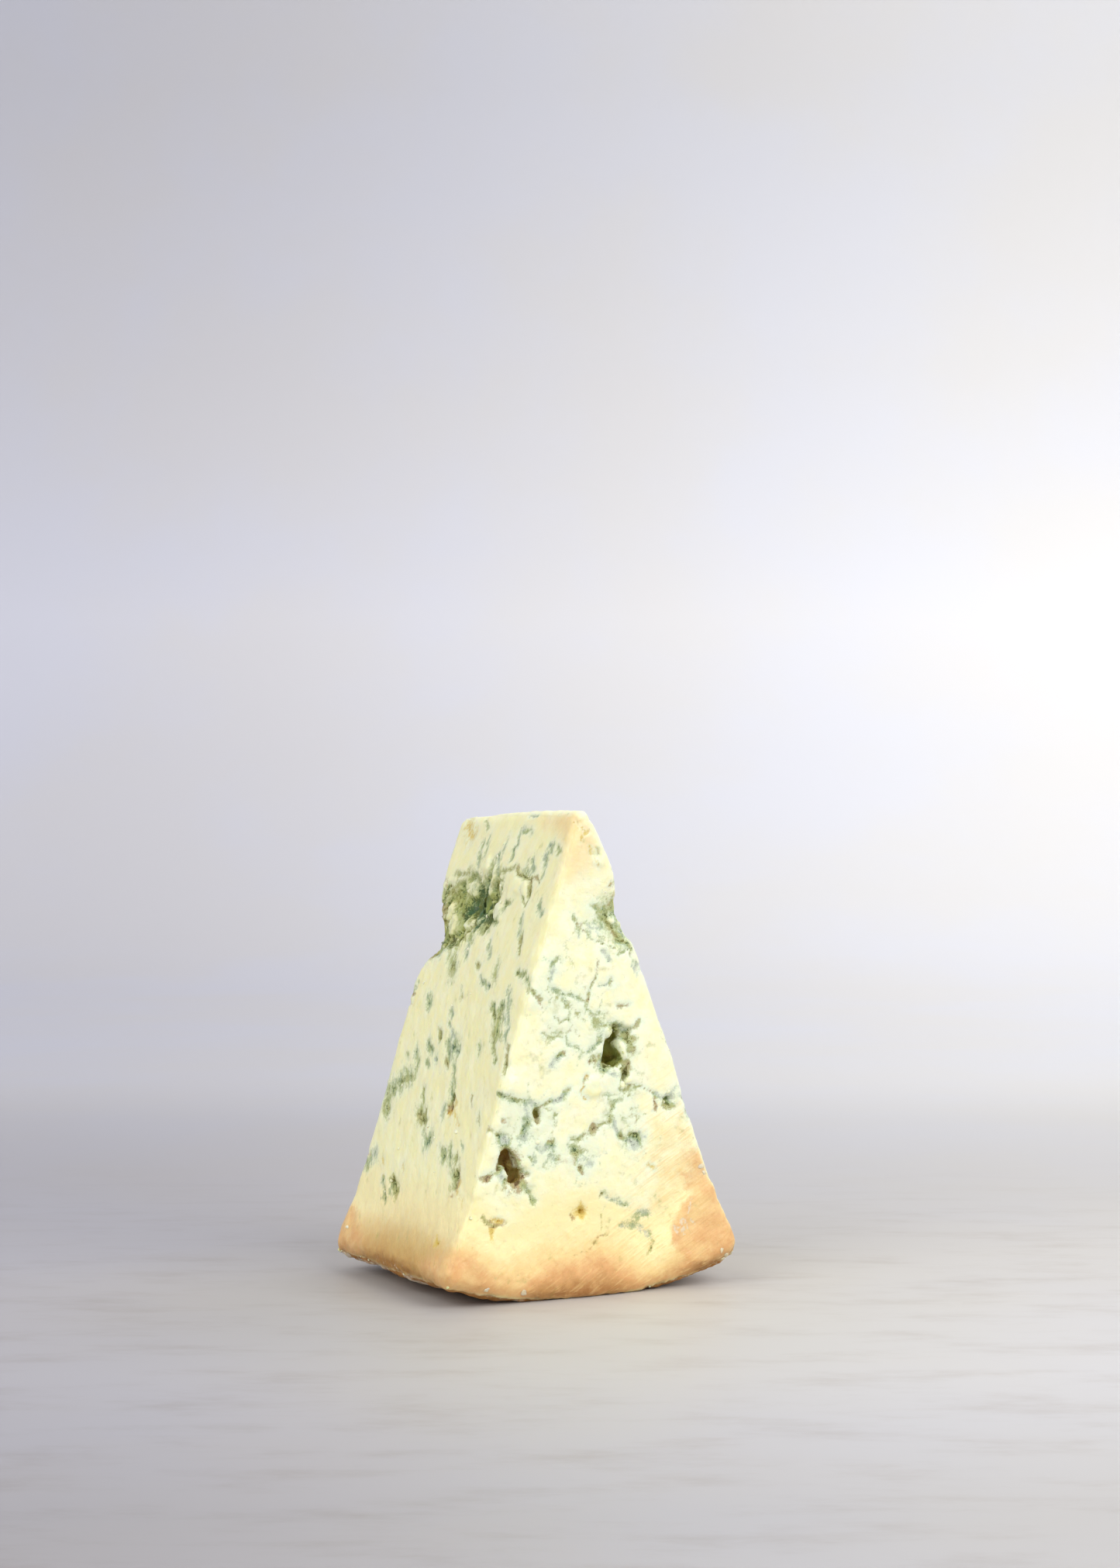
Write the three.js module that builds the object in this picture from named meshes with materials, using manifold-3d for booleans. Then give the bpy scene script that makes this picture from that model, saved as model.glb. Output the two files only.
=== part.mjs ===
// Blue cheese wedge, standing on its rind: a sector of a cheese wheel, between two flat
// faces across the wheel's axis and two cuts through that axis, with its thin tip cut off.
// Millimetres, +Z up. The wheel's axis lies along Y, the front face looks along -Y, and the
// origin is the middle of the bounding box's base.
import * as THREE from "three";
import { mergeVertices } from "three/addons/utils/BufferGeometryUtils.js";
import Module from "manifold-3d";

const DEGREE = Math.PI / 180;

// Driving dimensions. "Reach" is the distance from the wheel's axis.
const WHEEL_RADIUS = 101.4; // a whole wheel is a little over 200 mm across
const THICKNESS = 51.4; // along the wheel's axis
const LEFT_ANGLE = 17.5 * DEGREE; // from straight down to the left cut
const RIGHT_ANGLE = 20.1 * DEGREE; // and to the right cut
const TIP_REACH = { front: 4.6, back: 7 }; // the tip is cut off at this reach
const REST_DEPTH = 0.9; // the rind is squashed this deep where it carries the wedge

// Edge rounding.
const CUT_EDGE = 0.9;
const RIND_EDGE = 1.9;
const TIP_EDGE = 1.9;

// Slow swellings of the surface.
const FLARE = { start: 88, height: 1.1 }; // the firm rim stands proud of the cuts
const KNIFE_WAVE = { height: 0.35, length: 21 };
const RIND_WRINKLE = { height: 0.55, length: 9 };
const SMEAR = { x: 28, reach: 90, radius: 9.5, height: 0.8 }; // paste smeared at a corner
const HOLLOW = { behind: 35, reach: 26.5, across: 14, along: 8, depth: 1.3 }; // left cut

// Edges that crumbling mould has broken away, and two places where one stands proud
// instead. A side is -1 for the left or front and 1 for the right or back; "along" is the
// length of the bite on the edge, "into" its width on the faces.
const EDGE_BITES = [
  { side: -1, end: 1, reach: 33.2, along: 4.6, into: 7, depth: 3.5 },
  { side: 1, end: -1, reach: 27.2, along: 4.6, into: 6, depth: 1.5 },
  { side: 1, end: 1, reach: 38, along: 4.5, into: 6, depth: 2.4 },
  { side: 1, end: -1, reach: 6, along: 2.6, into: 3.4, depth: 0.6 },
  { side: 1, end: -1, reach: 17, along: 6, into: 5, depth: -0.6 },
  { side: -1, end: -1, reach: 85, along: 4.5, into: 4, depth: 0.9 },
  { side: -1, end: -1, reach: 61, along: 3, into: 4, depth: -1 },
  { side: 1, end: -1, reach: 57, along: 5, into: 4, depth: -0.5 },
];

// Holes and crevices. A place on the front is across from the axis, then below it; a place
// on the left cut is behind the front face, then the reach. Sizes are across, down and into
// the cheese; "turn" leans the hole clockwise, in degrees, as seen from outside.
const POCKETS = {
  front: [
    { at: [6.2, 52.1], size: [3.6, 8.4, 8], turn: 22 }, // green cavity
    { at: [9, 49], size: [3.6, 2.2, 4], turn: -15 },
    { at: [9.1, 57.4], size: [1.3, 6.4, 3], turn: 3 },
    { at: [-16.6, 73.6], size: [3.4, 7, 7], turn: -25 }, // brown cavity
    { at: [-13.9, 75.3], size: [2.8, 1.4, 3], turn: 8 },
    { at: [-18.7, 73.8], size: [1.4, 1.8, 2.4], turn: 0 },
    { at: [-12.2, 79], size: [1.3, 4.6, 2], turn: -32 },
    { at: [-10.4, 64], size: [1.9, 3.4, 3.6], turn: 0 },
    { at: [19, 62.8], size: [2, 1.6, 2.4], turn: 30 },
    { at: [11.2, 69.8], size: [2.2, 1.6, 2.4], turn: -40 },
    { at: [-0.5, 83.7], size: [2.2, 2.4, 3], turn: 0 },
    { at: [2.6, 13.6], size: [2.6, 3.8, 1.8], turn: -15 }, // bubble near the tip
    { at: [8, 28.4], size: [1.6, 7, 3], turn: -25 },
  ],
  left: [
    { at: [32.8, 24.6], size: [1.8, 5, 6], turn: 30 }, // mouldy crevices
    { at: [27.5, 28.4], size: [5, 1.6, 5.5], turn: 22 },
    { at: [42, 33.9], size: [6, 1.6, 4], turn: -10 },
    { at: [17.5, 18.4], size: [2, 1.6, 2.4], turn: 0 },
    { at: [10.6, 23.4], size: [1.1, 4, 2.4], turn: 12 },
    { at: [8.6, 49.4], size: [1.4, 7, 2.6], turn: -18 },
    { at: [38.6, 60.6], size: [1.2, 4, 1.8], turn: 0 },
    { at: [31, 69.3], size: [1.6, 4, 2], turn: -25 },
    { at: [18.8, 66.6], size: [1.2, 4, 2.6], turn: -20 },
    { at: [8.6, 81.3], size: [1.2, 3.6, 2], turn: -15 },
    { at: [34.5, 85.4], size: [3, 1.6, 2], turn: 0 },
  ],
};
const POCKET_ROUGHNESS = 0.3; // of each pocket's size
const FINE_POCKET_DEPTH = 5; // a deeper pocket gets more facets

// Holes of the same kind on the two faces that look away, spread by a fixed rule.
const FAR_POCKETS = { count: 6, nearest: 24, furthest: 88, width: 3, length: 6.5, depth: 5 };

// Grid cells across the sector, along the axis and along the reach.
const CELLS = { across: 20, axial: 16, radial: 34 };
const GRID_EASING = 0.5; // 0 for even cells, 1 for the finest ones at the edges

const { hypot, sin, cos, atan2, floor } = Math;
const clamp = (x, low, high) => Math.min(high, Math.max(low, x));
const mix = THREE.MathUtils.lerp;
const hump = (x, centre, reach) => Math.exp(-(((x - centre) / reach) ** 2));

// From 0 at one value to 1 at the other, whichever is larger.
function ramp(from, to, x) {
  const t = clamp((x - from) / (to - from), 0, 1);
  return t * t * (3 - 2 * t);
}

// A repeatable number from 0 to 1 for each place with whole-number coordinates.
function lattice(i, j, k) {
  const s = sin(i * 127.1 + j * 311.7 + k * 74.7) * 43758.5453;
  return s - floor(s);
}

// Smooth noise from -1 to 1, with swellings of about the given length.
function noise(point, length, seed) {
  const [x, y, z] = point.toArray().map((v) => v / length + seed);
  const [i, j, k] = [floor(x), floor(y), floor(z)];
  const [a, b, c] = [ramp(0, 1, x - i), ramp(0, 1, y - j), ramp(0, 1, z - k)];
  const row = (dj, dk) => mix(lattice(i, j + dj, k + dk), lattice(i + 1, j + dj, k + dk), a);
  const layer = (dk) => mix(row(0, dk), row(1, dk), b);
  return 2 * mix(layer(0), layer(1), c) - 1;
}

// The sector's outline across the axis is where four convex regions meet. Each takes a
// point, an inset and the tip's reach, and gives the region's nearest point.
function behindLine(p, nx, nz, offset) {
  const past = Math.max(0, p.x * nx + p.z * nz - offset);
  return { x: p.x - past * nx, z: p.z - past * nz };
}
const REGIONS = [
  (p, inset) => behindLine(p, -cos(LEFT_ANGLE), sin(LEFT_ANGLE), -inset),
  (p, inset) => behindLine(p, cos(RIGHT_ANGLE), sin(RIGHT_ANGLE), -inset),
  (p, inset, tip) => behindLine(p, 0, 1, -tip - inset),
  (p, inset) => {
    const scale = Math.min(1, (WHEEL_RADIUS - inset) / hypot(p.x, p.z));
    return { x: p.x * scale, z: p.z * scale };
  },
];

// The sector's nearest point, by Dykstra's turns of projection on to each region.
function nearestInSector(start, inset, tip) {
  const turns = 24;
  const corrections = REGIONS.map(() => ({ x: 0, z: 0 }));
  let p = start;
  for (let turn = 0; turn < turns; turn++)
    REGIONS.forEach((nearest, i) => {
      const from = { x: p.x + corrections[i].x, z: p.z + corrections[i].z };
      p = nearest(from, inset, tip);
      corrections[i] = { x: from.x - p.x, z: from.z - p.z };
    });
  return p;
}

// A grid place, each part from 0 to 1, on the sector with rounded edges, and the direction
// out of the cheese there.
function roundedPlace(across, axial, radial) {
  const angle = mix(-LEFT_ANGLE, RIGHT_ANGLE, across);
  const tip = mix(TIP_REACH.front, TIP_REACH.back, axial);
  const reach = mix(WHEEL_RADIUS, tip / cos(angle), radial);
  const y = (axial - 0.5) * THICKNESS;
  const sharp = new THREE.Vector3(reach * sin(angle), y, -reach * cos(angle));
  const edge = mix(CUT_EDGE, TIP_EDGE, ramp(0.86, 1, radial)) +
    (RIND_EDGE - CUT_EDGE) * ramp(0.12, 0, radial);
  const core = nearestInSector(sharp, edge, tip);
  const half = THICKNESS / 2 - edge;
  const middle = new THREE.Vector3(core.x, clamp(y, -half, half), core.z);
  const outward = sharp.sub(middle).normalize();
  return { point: middle.addScaledVector(outward, edge), outward };
}

// How much deeper the surface lies where an edge is broken away.
function bitten(point, reach) {
  const angle = atan2(point.x, -point.z);
  return EDGE_BITES.reduce((sum, bite) => {
    const edgeAngle = bite.side < 0 ? -LEFT_ANGLE : RIGHT_ANGLE;
    const fromEdge = hypot(point.y - (bite.end * THICKNESS) / 2, reach * (angle - edgeAngle));
    const along = hump(reach, bite.reach, bite.along);
    return sum + bite.depth * along * hump(fromEdge, 0, bite.into);
  }, 0);
}

// How far the surface stands out of the plain rounded sector.
function relief(point, outward) {
  const reach = hypot(point.x, point.z);
  const rind = ramp(WHEEL_RADIUS - 2.5, WHEEL_RADIUS - 0.8, reach);
  const flare = FLARE.height * ramp(FLARE.start, WHEEL_RADIUS - 3, reach);
  const wave = KNIFE_WAVE.height * noise(point, KNIFE_WAVE.length, 5);
  const front = ramp(0.3, 0.9, -outward.y);
  const fromSmear = hypot(point.x - SMEAR.x, point.z + SMEAR.reach);
  const smear = SMEAR.height * front * ramp(SMEAR.radius + 1, SMEAR.radius - 1, fromSmear);
  const behind = point.y + THICKNESS / 2;
  const fromHollow = hypot(
    (behind - HOLLOW.behind) / HOLLOW.across,
    (reach - HOLLOW.reach) / HOLLOW.along,
  );
  const left = ramp(0.3, 0.9, -outward.x);
  const hollow = HOLLOW.depth * left * ramp(1.15, 0.6, fromHollow);
  const wrinkle = RIND_WRINKLE.height * noise(point, RIND_WRINKLE.length, 9);
  const wrinkled = 0.4 * RIND_WRINKLE.height + wrinkle;
  return mix(flare + wave + smear - hollow, wrinkled, rind) - bitten(point, reach);
}

// The closed skin of the wedge, without its pockets: six grids that share their borders.
function skinGeometry() {
  const { across, axial, radial } = CELLS;
  const lean = GRID_EASING / (2 * Math.PI);
  const eased = (i, n) => i / n - lean * sin((2 * Math.PI * i) / n);
  const place = (i, j, k) => {
    const rounded = roundedPlace(eased(i, across), eased(j, axial), eased(k, radial));
    const { point, outward } = rounded;
    point.addScaledVector(outward, relief(point, outward));
    point.z = Math.max(point.z, REST_DEPTH - WHEEL_RADIUS);
    return point.toArray();
  };
  const positions = [];
  const sheet = (columns, rows, at, flipped) => {
    for (let i = 0; i < columns; i++)
      for (let j = 0; j < rows; j++) {
        const corners = [at(i, j), at(i + 1, j), at(i + 1, j + 1), at(i, j + 1)];
        const order = flipped ? [0, 2, 1, 0, 3, 2] : [0, 1, 2, 0, 2, 3];
        order.forEach((corner) => positions.push(...corners[corner]));
      }
  };
  sheet(across, radial, (i, k) => place(i, 0, k), false);
  sheet(across, radial, (i, k) => place(i, axial, k), true);
  sheet(axial, radial, (j, k) => place(0, j, k), true);
  sheet(axial, radial, (j, k) => place(across, j, k), false);
  sheet(across, axial, (i, j) => place(i, j, 0), true);
  sheet(across, axial, (i, j) => place(i, j, radial), false);
  const geometry = new THREE.BufferGeometry();
  geometry.setAttribute("position", new THREE.Float32BufferAttribute(positions, 3));
  return mergeVertices(geometry, 1e-3);
}

// Each face's frame for its pockets: across, down and out of the cheese, and a place on it.
const FACES = {
  front: {
    axes: [new THREE.Vector3(1, 0, 0), new THREE.Vector3(0, 0, -1)],
    place: (x, drop) => new THREE.Vector3(x, -THICKNESS / 2, -drop),
  },
  back: {
    axes: [new THREE.Vector3(-1, 0, 0), new THREE.Vector3(0, 0, -1)],
    place: (x, drop) => new THREE.Vector3(x, THICKNESS / 2, -drop),
  },
  left: {
    axes: [new THREE.Vector3(0, -1, 0), new THREE.Vector3(-sin(LEFT_ANGLE), 0, -cos(LEFT_ANGLE))],
    place: (behind, reach) =>
      new THREE.Vector3(-reach * sin(LEFT_ANGLE), behind - THICKNESS / 2, -reach * cos(LEFT_ANGLE)),
  },
  right: {
    axes: [new THREE.Vector3(0, 1, 0), new THREE.Vector3(sin(RIGHT_ANGLE), 0, -cos(RIGHT_ANGLE))],
    place: (behind, reach) =>
      new THREE.Vector3(reach * sin(RIGHT_ANGLE), behind - THICKNESS / 2, -reach * cos(RIGHT_ANGLE)),
  },
};

// A rough lump of the pocket's size, centred on the face, to be cut away.
function pocketGeometry(face, { at, size, turn }) {
  const [acrossAxis, downAxis] = face.axes;
  const inAxis = new THREE.Vector3().crossVectors(acrossAxis, downAxis);
  const lump = new THREE.IcosahedronGeometry(0.5, size[2] > FINE_POCKET_DEPTH ? 2 : 1);
  const positions = lump.getAttribute("position");
  const vertex = new THREE.Vector3();
  for (let i = 0; i < positions.count; i++) {
    vertex.fromBufferAttribute(positions, i);
    const roughness = POCKET_ROUGHNESS * noise(vertex, 0.3, at[0] + at[1]);
    vertex.multiplyScalar(1 + roughness).multiply(new THREE.Vector3(...size));
    positions.setXYZ(i, ...vertex.toArray());
  }
  lump.deleteAttribute("normal");
  lump.deleteAttribute("uv");
  lump.rotateZ(turn * DEGREE);
  lump.applyMatrix4(new THREE.Matrix4().makeBasis(acrossAxis, downAxis, inAxis));
  lump.translate(...face.place(...at).toArray());
  return mergeVertices(lump, 1e-4);
}

// The pockets of the two faces that look away, placed and sized by the lattice.
function farPockets(faceName) {
  const seed = faceName.length;
  const list = [];
  for (let n = 0; n < FAR_POCKETS.count; n++) {
    const [a, b, c, d] = [1, 2, 3, 4].map((k) => lattice(n, seed, k));
    const reach = mix(FAR_POCKETS.nearest, FAR_POCKETS.furthest, (n + a) / FAR_POCKETS.count);
    const x = mix(-0.8 * reach * sin(LEFT_ANGLE), 0.8 * reach * sin(RIGHT_ANGLE), b);
    const scale = mix(0.7, 1.3, c);
    const size = [FAR_POCKETS.width, FAR_POCKETS.length, FAR_POCKETS.depth];
    list.push({
      at: [faceName === "back" ? x : mix(0.12, 0.88, b) * THICKNESS, reach],
      size: size.map((v) => v * scale),
      turn: mix(-50, 50, d),
    });
  }
  return list;
}

const wasm = await Module();
wasm.setup();

function solidOf(geometry) {
  const mesh = new wasm.Mesh({
    numProp: 3,
    vertProperties: new Float32Array(geometry.getAttribute("position").array),
    triVerts: new Uint32Array(geometry.getIndex().array),
  });
  return new wasm.Manifold(mesh);
}

function geometryOf(solid) {
  const { vertProperties, triVerts } = solid.getMesh();
  const geometry = new THREE.BufferGeometry();
  geometry.setAttribute("position", new THREE.BufferAttribute(vertProperties, 3));
  geometry.setIndex(new THREE.BufferAttribute(triVerts, 1));
  return geometry;
}

// The wedge with its pockets cut, moved so that the middle of its box's base is the origin.
function wedgeGeometry() {
  const pockets = { ...POCKETS, back: farPockets("back"), right: farPockets("right") };
  let solid = solidOf(skinGeometry());
  for (const [name, list] of Object.entries(pockets))
    for (const pocket of list) solid = solid.subtract(solidOf(pocketGeometry(FACES[name], pocket)));
  const geometry = geometryOf(solid);
  geometry.computeBoundingBox();
  const { min, max } = geometry.boundingBox;
  return geometry.translate(-(min.x + max.x) / 2, -(min.y + max.y) / 2, -min.z);
}

const paste = new THREE.MeshStandardMaterial({ color: 0xf4efc0, roughness: 0.62, metalness: 0 });
const wedge = new THREE.Mesh(wedgeGeometry(), paste);
wedge.name = "cheese_wedge";

const part = new THREE.Group();
part.add(wedge);
export default part;
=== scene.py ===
"""The looks of a blue cheese wedge that stands on its rind.

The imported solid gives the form. Here it becomes a fine mesh, with the cheese's veins,
mouldy crevices, crumbly grain and wrinkled rind, and gets its materials, crumbs and stage.
Places on the cheese are in millimetres, as the maps below say; Blender's own are metres.
"""

import itertools
import math
from collections import namedtuple

import bmesh
import bpy
import numpy as np
from mathutils import Matrix, Vector


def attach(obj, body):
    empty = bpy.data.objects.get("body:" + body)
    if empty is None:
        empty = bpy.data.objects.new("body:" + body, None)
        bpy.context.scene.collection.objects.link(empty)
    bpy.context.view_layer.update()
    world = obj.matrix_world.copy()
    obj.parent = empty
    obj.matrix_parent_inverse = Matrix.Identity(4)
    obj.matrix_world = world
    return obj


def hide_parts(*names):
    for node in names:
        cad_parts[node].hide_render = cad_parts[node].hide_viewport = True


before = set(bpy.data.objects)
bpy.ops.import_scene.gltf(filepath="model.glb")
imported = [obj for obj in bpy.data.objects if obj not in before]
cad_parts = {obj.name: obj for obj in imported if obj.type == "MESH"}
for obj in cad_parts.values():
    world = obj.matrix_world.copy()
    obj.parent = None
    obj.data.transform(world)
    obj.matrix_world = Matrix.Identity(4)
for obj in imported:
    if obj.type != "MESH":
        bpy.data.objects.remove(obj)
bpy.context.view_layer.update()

bl_info = {
    "name": "Blue Cheese Wedge",
    "version": (1, 0, 0),
    "blender": (4, 5, 0),
    "location": "View3D > Sidebar > Cheese",
    "description": "Dresses a wedge of blue cheese: paste, veins, mould, rind, crumbs and stage",
    "category": "Object",
}

NODE = "cheese_wedge"
BODY = "root"
MM = 0.001
MAP_LIFT = 0.5  # the front map's base line is this far above the floor
MAP_REACH = 1.4  # the left map's reach starts this far above the wheel's axis
AXIS_HEIGHT = 100  # the wheel's axis on the front map
SLANT = 1.8  # the left map is drawn aslant: each 1 mm down a crevice moves it this far ahead
CREVICE_DEPTH = 4  # the slant ends this deep
FACE_BLEND = 0.5  # how softly one face passes into the next
STROKE_BEND = (42, 14)  # the reach where the knife's strokes turn, and over what length
STROKE_PULL = 2  # how much longer than wide the grain is that the knife has drawn out
CUT_FINENESS = 1.5  # how much finer patterns are on the left cut

# --- Where things are on the cheese ---

# How the mould looks, from blue-grey to ochre. A vein's tone is one of these, or between.
BLUE, TEAL, GREEN, OLIVE, BROWN, OCHRE = 0.0, 0.15, 0.3, 0.5, 0.75, 1.0
TONES = dict(blue=BLUE, teal=TEAL, green=GREEN, olive=OLIVE, brown=BROWN, ochre=OCHRE)
GOLD = 1.3  # past ochre, so that every fleck of it is ochre

# A line of mould. Width is half across, in millimetres; strength is 1 where it is plain.
Vein = namedtuple("Vein", "width tone strength line")


def veins(*rows):
    """Veins from rows of width, tone, strength and the points of the line."""
    return [Vein(width, tone, strength, line) for width, tone, strength, *line in rows]


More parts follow.
